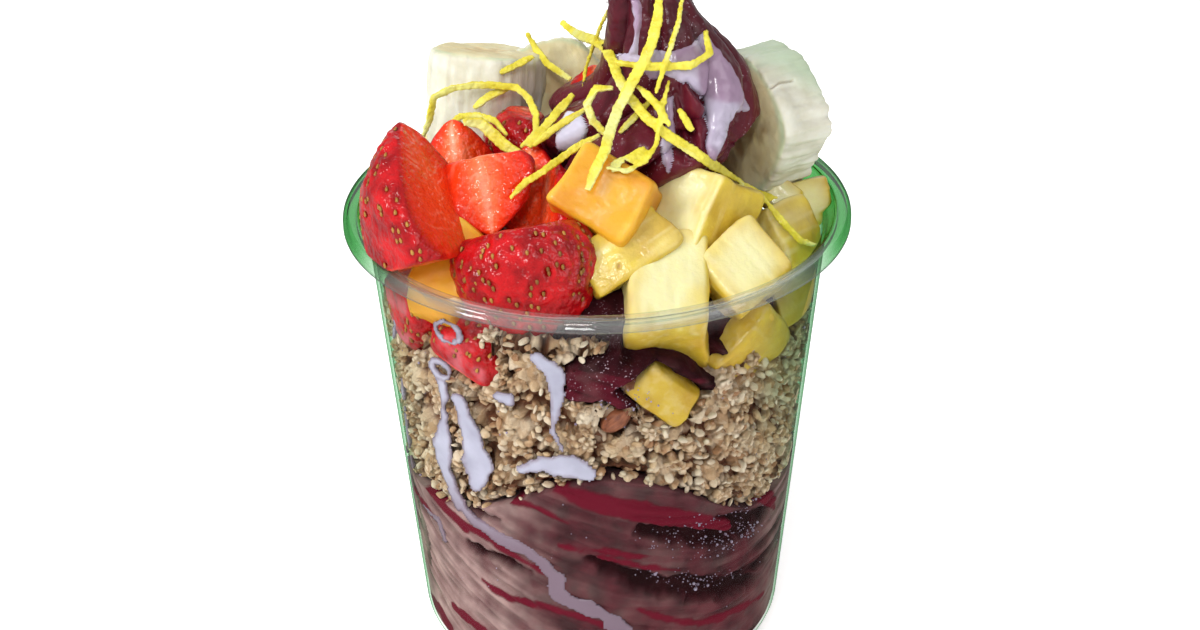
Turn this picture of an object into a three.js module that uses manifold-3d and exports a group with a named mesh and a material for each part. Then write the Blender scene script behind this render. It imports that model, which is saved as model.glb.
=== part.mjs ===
// An acai bowl served in a clear cup with a rolled rim. From the foot up it holds a thick acai
// puree with folded swirls, a layer of granola clusters, a second acai swirl that rises into a
// ridged peak, and a heap of cut fruit with strips of lemon zest. Units are millimetres, +Z is up,
// and the origin is the middle of the foot. The front of the serving faces -Y.
import * as THREE from "three";
import { mergeVertices } from "three/addons/utils/BufferGeometryUtils.js";
import Module from "manifold-3d";

const wasm = await Module();
wasm.setup();

// Driving dimensions of the cup.
const CUP_HEIGHT = 111;
const RIM_RADIUS = 58.5;
const WALL = 0.8;
const WALL_TOP_RADIUS = 53.4;
const WALL_FOOT_RADIUS = 44.2;
const FOOT_CORNER = 6;
const FOOT_RING_RADIUS = 34.4;
const FOOT_RECESS = 1.6;
const RIM_DROP = 2.8;
const LID_SEAT_Z = 107;
const LID_SEAT_STEP = 2.3;
const CUP_COLUMNS = 30;

// Clearances and the shape of the layers.
const CLEAR = 0.6;
const LAYER_GAP = 0.8;
const PRESS_GAP = 0.35;
const SOFT_COLUMNS = 24;

// Colours and finishes: colour, roughness, metalness, opacity.
const FINISH = {
  cup: [0xdfeee4, 0.08, 0, 0.35],
  acai: [0x4a1626, 0.35, 0, 1],
  granola: [0xcfae7c, 0.85, 0, 1],
  almond: [0x8a4a26, 0.6, 0, 1],
  strawberry: [0xd01d14, 0.35, 0, 1],
  mango: [0xf0b030, 0.4, 0, 1],
  pineapple: [0xeadb6a, 0.45, 0, 1],
  banana: [0xece3c4, 0.55, 0, 1],
  zest: [0xe0d020, 0.5, 0, 1],
};

// ---------------------------------------------------------------- numbers and vectors

const TAU = Math.PI * 2;
const UP = new THREE.Vector3(0, 0, 1);
const radians = (degrees) => (degrees * Math.PI) / 180;
const mix = (a, b, t) => a + (b - a) * t;
const vector = (list) => new THREE.Vector3(...list);

function smooth(from, to, x) {
  const t = Math.min(1, Math.max(0, (x - from) / (to - from)));
  return t * t * (3 - 2 * t);
}

// 1 at angle `middle`, falling to 0 at `width` either side; angles in degrees.
function bump(angle, middle, width) {
  const away = Math.abs(((angle - middle + 540) % 360) - 180);
  return 1 - smooth(0, width, away);
}

// A repeatable draw of numbers from 0 to 1.
function randomFrom(seed) {
  let state = seed;
  return () => {
    state = (state + 0x6d2b79f5) | 0;
    let t = Math.imul(state ^ (state >>> 15), 1 | state);
    t = (t + Math.imul(t ^ (t >>> 7), 61 | t)) ^ t;
    return ((t ^ (t >>> 14)) >>> 0) / 4294967296;
  };
}

// ---------------------------------------------------------------- solids

function toSolid(geometry, matrix = new THREE.Matrix4()) {
  const bare = geometry.clone().applyMatrix4(matrix);
  bare.deleteAttribute("normal");
  bare.deleteAttribute("uv");
  const merged = mergeVertices(bare, 1e-4);
  const mesh = new wasm.Mesh({
    numProp: 3,
    vertProperties: merged.attributes.position.array,
    triVerts: Uint32Array.from(merged.index.array),
  });
  return new wasm.Manifold(mesh);
}

function toGeometry(solid) {
  const mesh = solid.getMesh();
  const geometry = new THREE.BufferGeometry();
  geometry.setAttribute("position", new THREE.BufferAttribute(mesh.vertProperties, 3));
  geometry.setIndex(new THREE.BufferAttribute(mesh.triVerts, 1));
  geometry.computeVertexNormals();
  return geometry;
}

// The largest body of a solid, so that a cut leaves no loose scrap.
function largest(solid) {
  const bodies = solid.decompose();
  return bodies.reduce((best, body) => (body.volume() > best.volume() ? body : best));
}

// A closed skin through rings of equal length, which run anticlockwise about the way they advance.
function closedSkin(rings, firstPole, lastPole) {
  const columns = rings[0].length;
  const points = [firstPole, ...rings.flat(), lastPole];
  const last = points.length - 1;
  const at = (ring, column) => 1 + ring * columns + (column % columns);
  const index = [];
  for (let c = 0; c < columns; c++) {
    index.push(0, at(0, c + 1), at(0, c));
    for (let r = 0; r + 1 < rings.length; r++) {
      index.push(at(r, c), at(r, c + 1), at(r + 1, c + 1));
      index.push(at(r, c), at(r + 1, c + 1), at(r + 1, c));
    }
    index.push(at(rings.length - 1, c), at(rings.length - 1, c + 1), last);
  }
  return new THREE.BufferGeometry().setFromPoints(points).setIndex(index);
}

// A ring of points at radius(angle) and height(angle, radius) about the cup's axis.
function ring(columns, radius, height) {
  return Array.from({ length: columns }, (_, c) => {
    const angle = (c / columns) * TAU;
    const r = radius((angle * 180) / Math.PI);
    return new THREE.Vector3(
      r * Math.cos(angle),
      r * Math.sin(angle),
      height((angle * 180) / Math.PI, r),
    );
  });
}

// ---------------------------------------------------------------- cup

const outerWall = (z) =>
  mix(WALL_FOOT_RADIUS, WALL_TOP_RADIUS, (z - FOOT_CORNER) / (CUP_HEIGHT - FOOT_CORNER));
const innerWall = (z) => outerWall(z) - WALL;

// The radius that contents may reach at a height, round the foot's corner too.
function roomRadius(z) {
  const floor = FOOT_RECESS + WALL + LAYER_GAP;
  const corner = FOOT_CORNER - WALL;
  const drop = Math.max(0, floor + corner - z) / corner;
  const inset = corner * (1 - Math.sqrt(Math.max(0, 1 - drop * drop)));
  return innerWall(Math.max(z, FOOT_CORNER)) - CLEAR - inset;
}

function cupGeometry() {
  const arc = (radius, inset) =>
    [0, 0.33, 0.67, 1].map((share) => {
      const turn = (share * Math.PI) / 2;
      const centre = WALL_FOOT_RADIUS - FOOT_CORNER;
      return [centre + radius * Math.sin(turn), inset + radius * (1 - Math.cos(turn))];
    });
  const seat = outerWall(LID_SEAT_Z);
  const outside = [
    [0, FOOT_RECESS],
    [FOOT_RING_RADIUS - 1.4, FOOT_RECESS],
    [FOOT_RING_RADIUS, 0],
    ...arc(FOOT_CORNER, 0),
    [seat, LID_SEAT_Z],
    [seat + LID_SEAT_STEP, LID_SEAT_Z + 1.6],
    [RIM_RADIUS - WALL, CUP_HEIGHT - WALL - 0.3],
    [RIM_RADIUS - WALL, CUP_HEIGHT - RIM_DROP],
    [RIM_RADIUS, CUP_HEIGHT - RIM_DROP],
    [RIM_RADIUS, CUP_HEIGHT - 0.9],
    [RIM_RADIUS - 0.9, CUP_HEIGHT],
  ];
  const inside = [
    [seat + LID_SEAT_STEP - WALL + 0.4, CUP_HEIGHT - 0.1],
    [seat + LID_SEAT_STEP - WALL, LID_SEAT_Z + 1.9],
    [seat - WALL, LID_SEAT_Z + 0.4],
    ...arc(FOOT_CORNER - WALL, WALL).reverse().slice(0, 3),
    [FOOT_RING_RADIUS + 0.3, WALL],
    [FOOT_RING_RADIUS - 1.1, FOOT_RECESS + WALL],
    [0, FOOT_RECESS + WALL],
  ];
  const profile = [...outside, ...inside].map(([r, z]) => new THREE.Vector2(r, z));
  return new THREE.LatheGeometry(profile, CUP_COLUMNS).rotateX(Math.PI / 2);
}

// ---------------------------------------------------------------- layers

// Height of the puree's top under the granola: highest at the front, low at the sides.
const BASE_TOP = { middle: 62, side: 47, front: 19, back: 8 };
function baseTop(angle, radius) {
  const wall =
    BASE_TOP.side +
    BASE_TOP.front * bump(angle, 270, 50) +
    BASE_TOP.back * bump(angle, 90, 60) +
    1.2 * Math.sin(radians(5 * angle + 40));
  return mix(BASE_TOP.middle, wall, smooth(5, 44, radius));
}

// Height of the granola's top: low in the middle, banked against the wall, highest left of the
// front, with a dip just right of it where the upper puree shows.
const GRANOLA_TOP = { middle: 77, wall: 90, bank: 10, dip: 8, right: 4 };
function granolaTop(angle, radius) {
  const wall =
    GRANOLA_TOP.wall +
    GRANOLA_TOP.bank * bump(angle, 248, 24) -
    GRANOLA_TOP.dip * bump(angle, 286, 28) -
    GRANOLA_TOP.right * bump(angle, 328, 30) +
    1.5 * Math.sin(radians(7 * angle));
  return mix(GRANOLA_TOP.middle, wall, smooth(33, 45, radius));
}

// Height of the upper puree's bed, which the fruit is pressed into.
function bedTop(angle, radius) {
  const slope = mix(112, 97 + 8 * bump(angle, 275, 50), smooth(14, 46, radius));
  return Math.max(slope, granolaTop(angle, radius) + 1.6);
}

// Radius of the bed's side: clear of the wall, but out to it where it shows through the dip.
function bedEdge(angle, z) {
  return mix(45.2, roomRadius(z) - 1.6, smooth(0, 0.5, bump(angle, 286, 30)));
}

// Folds that wind round the puree: 0 on a fold's crest and up to 1 in the groove between two.
function foldDepth(angle, z) {
  const wind = radians(2 * angle) + z * 0.33 + 0.8 * Math.sin(radians(angle) + z * 0.05);
  return Math.pow(0.5 + 0.5 * Math.sin(wind), 3);
}

const FOLD_GROOVE = 2.2;
function baseGeometry() {
  const floor = FOOT_RECESS + WALL + LAYER_GAP;
  const rings = [17, 34].map((r) => ring(SOFT_COLUMNS, () => r, () => floor));
  const steps = 10;
  for (let i = 0; i <= steps; i++) {
    const share = Math.pow(i / steps, 1.25);
    const height = (angle) => mix(floor, baseTop(angle, 44), share);
    const ease = smooth(0, 0.06, share) * (1 - smooth(0.94, 1, share));
    const radius = (angle) => {
      const z = height(angle);
      return roomRadius(z) - FOLD_GROOVE * ease * foldDepth(angle, z);
    };
    rings.push(ring(SOFT_COLUMNS, radius, height));
  }
  for (const r of [44, 36, 20]) rings.push(ring(SOFT_COLUMNS, () => r, baseTop));
  return closedSkin(rings, new THREE.Vector3(0, 0, floor), new THREE.Vector3(0, 0, baseTop(0, 0)));
}

// The core that the clusters are fused to, a little inside their outline.
const CORE_INSET = 3.8;
function granolaCore() {
  const under = (angle, r) => baseTop(angle, r) + LAYER_GAP;
  const rings = [22, 41].map((r) => ring(SOFT_COLUMNS, () => r, under));
  for (const share of [0, 0.5, 1]) {
    const height = (angle) => mix(under(angle, 44), granolaTop(angle, 46), share);
    const radius = (angle) => roomRadius(height(angle)) - CORE_INSET;
    rings.push(ring(SOFT_COLUMNS, radius, height));
  }
  for (const r of [43, 38, 32]) rings.push(ring(SOFT_COLUMNS, () => r, granolaTop));
  return closedSkin(
    rings,
    new THREE.Vector3(0, 0, under(0, 0)),
    new THREE.Vector3(0, 0, granolaTop(0, 0)),
  );
}

// One rough cluster: a low ball with its corners pushed in and out.
function lump(size, random) {
  const ball = new THREE.IcosahedronGeometry(size, 0);
  ball.deleteAttribute("normal");
  ball.deleteAttribute("uv");
  const merged = mergeVertices(ball);
  const points = merged.attributes.position;
  for (let i = 0; i < points.count; i++) {
    const push = mix(0.72, 1.22, random());
    points.setXYZ(i, points.getX(i) * push, points.getY(i) * push, points.getZ(i) * push);
  }
  const stretch = [mix(0.8, 1.25, random()), mix(0.8, 1.2, random()), mix(0.65, 1, random())];
  const turn = new THREE.Euler(random() * TAU, random() * TAU, random() * TAU);
  return merged.scale(...stretch).applyMatrix4(new THREE.Matrix4().makeRotationFromEuler(turn));
}

// Clusters spread evenly round the side of the granola, and a few heaped above its front edge.
const SIDE_LUMPS = { rows: 3, around: 14, size: [4.6, 6.8] };
const HIGH_LUMPS = { from: 255, to: 283, count: 7, z: 97, size: 5.2 };
function granolaSolid() {
  const random = randomFrom(11);
  const pieces = [toSolid(granolaCore())];
  const place = (angle, z, size) => {
    const reach = Math.min(roomRadius(z - size), roomRadius(z)) - size * 1.05;
    const spot = new THREE.Matrix4().makeTranslation(
      reach * Math.cos(radians(angle)),
      reach * Math.sin(radians(angle)),
      z,
    );
    pieces.push(toSolid(lump(size, random), spot));
  };
  for (let row = 0; row < SIDE_LUMPS.rows; row++) {
    for (let k = 0; k < SIDE_LUMPS.around; k++) {
      const angle = ((k + 0.5 * (row % 2) + 0.5 * random()) / SIDE_LUMPS.around) * 360;
      const size = mix(...SIDE_LUMPS.size, random());
      const low = baseTop(angle, 44) + LAYER_GAP + size * 1.3;
      const high = Math.max(low, granolaTop(angle, 46));
      place(angle, mix(low, high, (row + 0.4 * random()) / (SIDE_LUMPS.rows - 0.8)), size);
    }
  }
  for (let k = 0; k < HIGH_LUMPS.count; k++) {
    const angle = mix(HIGH_LUMPS.from, HIGH_LUMPS.to, k / (HIGH_LUMPS.count - 1));
    place(angle, HIGH_LUMPS.z + 1.5 * random(), HIGH_LUMPS.size);
  }
  return wasm.Manifold.union(pieces);
}

// The space for the granola and all above it: off the puree, off the wall and over the rim.
const ROOM_TOP = 190;
function roomGeometry() {
  const seat = outerWall(LID_SEAT_Z) - WALL - CLEAR;
  const rims = [
    [seat, LID_SEAT_Z + 0.2],
    [seat + LID_SEAT_STEP - 0.2, LID_SEAT_Z + 2.2],
    [seat + LID_SEAT_STEP, CUP_HEIGHT + 0.4],
    [RIM_RADIUS - 0.1, CUP_HEIGHT + 0.4],
    [RIM_RADIUS - 0.1, ROOM_TOP],
  ];
  const under = (angle, r) => baseTop(angle, r) + LAYER_GAP - 0.02;
  const rings = [20, 36, 44].map((r) => ring(SOFT_COLUMNS, () => r, under));
  const foot = (angle) => under(angle, 44);
  rings.push(ring(SOFT_COLUMNS, (angle) => roomRadius(foot(angle)), foot));
  for (const [r, z] of rims) rings.push(ring(SOFT_COLUMNS, () => r, () => z));
  return closedSkin(
    rings,
    new THREE.Vector3(0, 0, under(0, 0)),
    new THREE.Vector3(0, 0, ROOM_TOP),
  );
}

// ---------------------------------------------------------------- upper swirl

// The peak's stations: height, middle x, middle y, radius. A wide coil with a ledge to +X, then a
// cone that stands over its left half and leans back to -X at the tip. The ridges turn by
// PEAK_TWIST degrees for each millimetre above PEAK_FOOT.
const PEAK = [
  [101, 6, 3, 22],
  [112, 8, 3, 20.5],
  [121, 9, 3, 19.5],
  [126, 11, 2, 22.5],
  [131, 12.8, 2, 24.5],
  [134.5, 14.5, 2, 22],
  [138, 16.5, 1, 18.4],
  [143, 17.2, 1, 16],
  [148.5, 16, 0, 13.4],
  [154, 13.8, 0, 10.8],
  [160, 11.6, 0, 8.5],
  [166, 9, 0, 6],
  [171, 6, 0, 3.6],
];
const PEAK_TIP = [2.6, 0, 174.5];
const PEAK_RIDGES = 7;
const PEAK_COLUMNS = 21;
const PEAK_TWIST = 2.2;
const PEAK_FOOT = [6, 3, 100];
const RIDGE_SHARE = 0.16;

// How far a ridge stands out at an angle in radians, from -1 in a groove to 0.4 on a crest.
function ridge(angle, z) {
  const phase = (PEAK_RIDGES / 2) * (angle - radians(PEAK_TWIST * (z - PEAK_FOOT[2])));
  return 0.4 - 1.4 * Math.pow(1 - Math.abs(Math.sin(phase)), 1.6);
}

// The peak, grown outward all round by `grow`.
function peakGeometry(grow) {
  const rings = PEAK.map(([z, x, y, radius]) =>
    Array.from({ length: PEAK_COLUMNS }, (_, c) => {
      const angle = (c / PEAK_COLUMNS) * TAU + radians(PEAK_TWIST * (z - PEAK_FOOT[2]));
      const r = radius * (1 + RIDGE_SHARE * ridge(angle, z)) + grow;
      return new THREE.Vector3(x + r * Math.cos(angle), y + r * Math.sin(angle), z);
    }),
  );
  const tip = vector(PEAK_TIP);
  tip.z += grow;
  return closedSkin(rings, vector(PEAK_FOOT), tip);
}

// The bed, grown outward all round by `grow`.
function bedGeometry(grow) {
  const under = (angle, r) => granolaTop(angle, r) + LAYER_GAP - grow;
  const over = (angle, r) => bedTop(angle, r) + grow;
  const rings = [33, 42].map((r) => ring(SOFT_COLUMNS, () => r, under));
  for (const share of [0, 1]) {
    const height = (angle) => mix(under(angle, 46), over(angle, 46), share);
    rings.push(ring(SOFT_COLUMNS, (angle) => bedEdge(angle, height(angle)) + grow, height));
  }
  for (const r of [38, 26]) rings.push(ring(SOFT_COLUMNS, () => r, over));
  return closedSkin(
    rings,
    new THREE.Vector3(0, 0, under(0, 0)),
    new THREE.Vector3(0, 0, over(0, 0)),
  );
}

// ---------------------------------------------------------------- fruit

// A turn in degrees: local Z leans from upright towards a compass direction, where 0 is +X and 270
// is the front, and local X spins about it.
function facing(lean, compass, spin) {
  return new THREE.Matrix4()
    .makeRotationZ(radians(compass))
    .multiply(new THREE.Matrix4().makeRotationY(radians(lean)))
    .multiply(new THREE.Matrix4().makeRotationZ(radians(spin)));
}

// A knife cut: it faces `around` about local Z, rises towards the tip, and lies `distance` out.
function cut(around, rise, distance) {
  const normal = new THREE.Vector3(
    Math.cos(radians(rise)) * Math.cos(radians(around)),
    Math.cos(radians(rise)) * Math.sin(radians(around)),
    Math.sin(radians(rise)),
  );
  return { normal, distance };
}

// Cuts away what lies beyond a knife cut.
const KNIFE_BLOCK = 120;
function sliced(solid, { normal, distance }) {
  const block = new THREE.BoxGeometry(KNIFE_BLOCK, KNIFE_BLOCK, KNIFE_BLOCK);
  block.translate(0, 0, KNIFE_BLOCK / 2 + distance);
  const turn = new THREE.Quaternion().setFromUnitVectors(UP, normal);
  return solid.subtract(toSolid(block.applyQuaternion(turn)));
}

// A hand-cut cube: rounded corners, sides that aren't quite square. A grown copy keeps its corners
// sharp, so the hollow that it presses is plain.
function chunk(size, seed) {
  return (grow) => {
    const random = randomFrom(seed);
    const parts = grow > 0 ? 1 : 2;
    const rounding = grow > 0 ? -0.05 : 0.09;
    const uneven = grow > 0 ? 0 : 0.04;
    const box = new THREE.BoxGeometry(2, 2, 2, parts, parts, parts);
    const skew = Array.from({ length: 4 }, () => mix(-0.12, 0.12, random()));
    const ripple = Array.from({ length: 3 }, () => random() * TAU);
    const points = box.attributes.position;
    for (let i = 0; i < points.count; i++) {
      const p = new THREE.Vector3().fromBufferAttribute(points, i);
      p.multiplyScalar(1 - rounding * Math.pow(p.length() / Math.sqrt(3), 5));
      p.x *= 1 + skew[0] * p.z + skew[2] * p.y;
      p.y *= 1 + skew[1] * p.z;
      p.z += skew[3] * p.x;
      p.x += uneven * Math.sin(3 * p.y + ripple[0]);
      p.y += uneven * Math.sin(3 * p.z + ripple[1]);
      p.z += uneven * Math.sin(3 * p.x + ripple[2]);
      const half = size.map((side) => side / 2 + grow);
      points.setXYZ(i, p.x * half[0], p.y * half[1], p.z * half[2]);
    }
    return toSolid(box);
  };
}

// A strawberry whose axis is local Z, tip at +Z, hull end cut flat, then cut by a knife in turn. A
// grown copy has fewer sides and is wide enough to hold the finer one.
const HULL_CUT = 0.12;
function berry([length, width], cuts) {
  return (grow) => {
    const [columns, levels, loose] = grow > 0 ? [8, 5, 1.12] : [11, 5, 1];
    const long = length + 2 * grow;
    const wide = (width / 2 + grow) * loose;
    const rings = Array.from({ length: levels }, (_, i) => {
      const share = Math.pow((i + 0.5) / levels, 1.1);
      const swell = Math.pow(Math.sin(Math.PI * Math.pow(share, 0.62)), 0.72);
      return Array.from({ length: columns }, (_, c) => {
        const angle = (c / columns) * TAU;
        const r = wide * swell * (1 + 0.04 * Math.sin(3 * angle + 2 * share));
        return new THREE.Vector3(r * Math.cos(angle), r * Math.sin(angle), (share - 0.5) * long);
      });
    });
    const whole = closedSkin(
      rings,
      new THREE.Vector3(0, 0, -long / 2),
      new THREE.Vector3(0, 0, long / 2),
    );
    const knives = [cut(0, -90, (0.5 - HULL_CUT) * length), ...cuts];
    return knives.reduce(
      (solid, { normal, distance }) => sliced(solid, { normal, distance: distance + grow }),
      toSolid(whole),
    );
  };
}

// A thick banana slice along local Z, with a blunt five-sided section and soft edges.
const SLICE_COLUMNS = 15;
const SLICE_EDGE = 1.2;
function slice([diameter, thickness]) {
  return (grow) => {
    const half = thickness / 2 + grow;
    const rows = [
      [0.93, -half],
      [1, -half + SLICE_EDGE],
      [1, half - SLICE_EDGE],
      [0.93, half],
    ];
    const rings = rows.map(([share, z]) =>
      Array.from({ length: SLICE_COLUMNS }, (_, c) => {
        const angle = (c / SLICE_COLUMNS) * TAU;
        const r = (diameter / 2 + grow) * share * (1 + 0.03 * Math.cos(5 * angle));
        return new THREE.Vector3(r * Math.cos(angle), r * Math.sin(angle), z);
      }),
    );
    return toSolid(
      closedSkin(rings, new THREE.Vector3(0, 0, -half), new THREE.Vector3(0, 0, half)),
    );
  };
}

// An almond piece: a pointed drop, flattened.
const DROP_COLUMNS = 8;
function drop([length, width, thickness]) {
  return (grow) => {
    const rings = [0.08, 0.3, 0.55, 0.8, 0.95].map((share) => {
      const swell = Math.pow(Math.sin(Math.PI * Math.pow(share, 0.8)), 0.7);
      return Array.from({ length: DROP_COLUMNS }, (_, c) => {
        const angle = (c / DROP_COLUMNS) * TAU;
        return new THREE.Vector3(
          (width / 2 + grow) * swell * Math.cos(angle),
          (thickness / 2 + grow) * swell * Math.sin(angle),
          (share - 0.5) * (length + 2 * grow),
        );
      });
    });
    const end = length / 2 + grow;
    return toSolid(closedSkin(rings, new THREE.Vector3(0, 0, -end), new THREE.Vector3(0, 0, end)));
  };
}

// Every piece: its shape, its middle, and the lean, compass and spin that it faces with. A name's
// first word is its finish. An earlier piece keeps its form, and a later one gives way where the
// two press together.
const PIECES = {
  strawberry_left: [berry([36, 30], [cut(0, -10, 2)]), [-39, -24, 122.5], [30, 115, 215]],
  strawberry_front: [berry([36, 33], [cut(0, -10, 3)]), [-14, -33, 105], [150, 290, 20]],
  pineapple_ridge: [chunk([17, 17, 17.5], 21), [23.5, -20.5, 117], [35, 50, 170]],
  mango_middle: [chunk([19, 17, 16], 22), [2.5, -24, 122], [50, 255, 65]],
  pineapple_front: [chunk([22, 18, 19], 23), [14.5, -34, 104], [40, 275, 175]],
  pineapple_bar: [chunk([23, 11.5, 12], 24), [6, -31, 113], [50, 270, 125]],
  strawberry_wedge: [
    berry([20, 23], [cut(0, 5, 1), cut(60, -15, 6)]),
    [-24.5, -22, 124],
    [150, 290, 190],
  ],
  pineapple_right_low: [chunk([12, 14, 17], 25), [29.5, -28.5, 91.5], [50, 30, 200]],
  pineapple_right_high: [chunk([16, 16, 14], 26), [31.5, -30, 107.5], [45, 280, 35]],
  banana_right: [slice([34, 15]), [37, 12, 125.5], [85, 220, 30]],
  mango_left: [chunk([23, 15, 12], 27), [-32.5, -28.5, 107], [50, 260, 340]],
  strawberry_thin: [
    berry([27, 18], [cut(0, 25, 2.5), cut(185, -15, 3)]),
    [-9, -19, 118],
    [35, 125, 85],
  ],
  strawberry_shaded: [berry([24, 17], [cut(0, 15, 2)]), [-14, -12, 119], [30, 105, 145]],
  strawberry_back_left: [
    berry([19, 20], [cut(0, 10, 1), cut(65, 0, 2)]),
    [-31.5, -6, 124.5],
    [30, 110, 135],
  ],
  pineapple_right_edge: [chunk([14, 13, 15], 28), [41.5, -11.5, 106], [40, 135, 95]],
  strawberry_wall_left: [berry([26, 18], []), [-39.5, -22, 93.5], [165, 30, 0]],
  strawberry_wall_front: [berry([26, 22], []), [-24.5, -32.5, 94.5], [35, 25, 215]],
  pineapple_slab: [chunk([14.5, 9, 7], 29), [13.5, -43.5, 86], [95, 285, 45]],
  pineapple_wall_right: [chunk([14, 12, 10], 30), [43.5, -16, 95], [65, 300, 100]],
  pineapple_back_right: [chunk([13, 11, 11], 31), [48, 4.5, 106.5], [55, 275, 100]],
  pineapple_bit: [chunk([9, 8, 9], 32), [42.5, 2, 110], [60, 270, 55]],
  mango_bit: [chunk([11, 10, 11], 33), [26, -25, 105], [60, 270, 80]],
  banana_back_left: [slice([27, 25]), [-26.5, 22, 126], [15, 70, 290]],
  banana_back_middle: [slice([27, 16]), [-10.5, 29, 123.5], [50, 290, 75]],
  banana_back_right: [slice([26, 15]), [5.5, 36, 121], [35, 280, 80]],
  strawberry_peep_left: [berry([18, 16], [cut(0, 70, 5)]), [-17, 5, 126], [30, 70, 205]],
  strawberry_peep_middle: [berry([18, 14], [cut(0, 20, 3)]), [-1.5, 9, 131.5], [30, 70, 205]],
  pineapple_far_left: [chunk([16, 15, 14], 34), [-41, 18, 110], [45, 135, 260]],
  mango_far: [chunk([17, 15, 15], 35), [-22, 42, 108], [40, 110, 270]],
  strawberry_far: [berry([28, 23], [cut(0, 15, 1)]), [-1, 41, 106], [80, 5, 150]],
  pineapple_far_right: [chunk([17, 16, 14], 36), [19, 38, 107.5], [35, 60, 265]],
  mango_far_right: [chunk([15, 14, 15], 37), [37, 28, 107], [40, 40, 270]],
  almond: [drop([9.5, 6.6, 5]), [4, -46, 80.5], [50, 5, 265]],
};

// ---------------------------------------------------------------- zest

// Strips of peel lie on the heap as if dropped from the front and above. Their paths are drawn on
// a sheet that faces that way and crosses the cup's axis at SHEET_HEIGHT, then fall onto the heap.
const FALL_ANGLE = radians(29);
const TO_FRONT = new THREE.Vector3(0, -Math.cos(FALL_ANGLE), Math.sin(FALL_ANGLE));
const SHEET_UP = new THREE.Vector3(0, Math.sin(FALL_ANGLE), Math.cos(FALL_ANGLE));
const SHEET_HEIGHT = 80;

// A strip's thickness, how far it reaches across a hollow without sagging in, and the length
// between the places where its fall is worked out and where its section is set.
const ZEST_THICKNESS = 0.8;
const ZEST_BRIDGE = 4.5;
const FALL_STEP = 1.5;
const ZEST_STEP = 5.2;

// A scrap of zest smaller than this many cubic millimetres is left off.
const ZEST_SCRAP = 6;

// Each strip's width, its lift off the heap, its roll at both ends in degrees, and its path's
// points across and up the sheet.
const STRIPS = {
  long: [2.4, 2, [10, -20], [[-8, 71], [2, 60], [6, 50], [12, 42], [22, 35], [35, 28], [45, 24]]],
  over_rim: [1.7, 2.5, [0, 30], [[36, 27], [41, 21], [46, 16], [50, 15]]],
  fine: [0.9, 1, [0, 0], [[5, 70], [1, 64], [-2, 57], [-3, 51]]],
  back_left: [1.8, 1.5, [0, 20], [[-16, 67], [-12, 60], [-5, 54]]],
  back_branch: [1.8, 1.2, [0, 20], [[-14, 60], [-18, 58], [-22, 56]]],
  big_loop: [
    1.8,
    3.5,
    [30, 10],
    [[-40, 42], [-38, 47], [-37, 51], [-30, 53], [-22, 53], [-17, 52], [-14, 47], [-13, 42], [-17, 38]],
  ],
  loop_branch: [2, 2.5, [0, 25], [[-19, 53], [-24, 51], [-28, 48]]],
  small_loop: [1.6, 2.5, [20, 0], [[-35, 44], [-32, 46], [-26, 46], [-22, 44], [-20, 41]]],
  wide: [2.8, 1.5, [0, 10], [[-30, 44], [-26, 44], [-21, 39], [-17, 37]]],
  broad: [2.3, 2.5, [10, 30], [[-5, 50], [-11, 43], [-15, 38]]],
  lower: [1.7, 1.8, [0, 0], [[-2, 46], [-9, 42], [-14, 38]]],
  over_berry: [1.8, 1.5, [0, 20], [[1, 40], [-5, 37], [-10, 33], [-15, 30], [-19, 26]]],
  hook: [2, 3, [40, -20], [[4, 50], [0, 50], [-2, 46], [0, 42], [2, 40]]],
  tall: [
    2.5,
    3.5,
    [0, 15],
    [[14, 69], [13, 61], [10, 54], [7, 49], [4, 43], [2, 36], [0, 32], [-2, 27]],
  ],
  cross: [2, 2.5, [60, 0], [[4, 55], [11, 54], [20, 54], [24, 55], [25, 58], [24, 62]]],
  side: [1.3, 4, [0, 0], [[19, 69], [18, 63], [16, 57], [14, 51], [13, 48]]],
  short: [1.8, 3, [0, 10], [[9, 50], [13, 46], [16, 41]]],
  curl: [1.3, 2.2, [0, 40], [[16, 51], [14, 43], [13, 37], [9, 32], [5, 31], [2, 32]]],
  peel: [3.4, 1.2, [0, 0], [[3, 32], [7, 33], [11, 36]]],
  diagonal: [1.6, 2, [0, 0], [[5, 40], [9, 44], [12, 47]]],
  chip: [1.8, 1, [0, 0], [[18, 45], [21, 40]]],
};

// How far the heap stands out from a spot on the sheet, or null beside it.
function heapDepth(spot, heap) {
  const far = 200;
  const start = spot.clone().addScaledVector(TO_FRONT, far);
  const fall = new THREE.Raycaster(start, TO_FRONT.clone().negate());
  const [first] = fall.intersectObjects(heap, false);
  return first ? far - first.distance : null;
}

// Each value replaced by `pick` of the values up to `reach` places either side of it.
function spread(values, reach, pick) {
  return values.map((_, i) =>
    pick(
      Array.from({ length: 2 * reach + 1 }, (_, k) => {
        const place = Math.min(values.length - 1, Math.max(0, i + k - reach));
        return values[place];
      }),
    ),
  );
}

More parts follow.
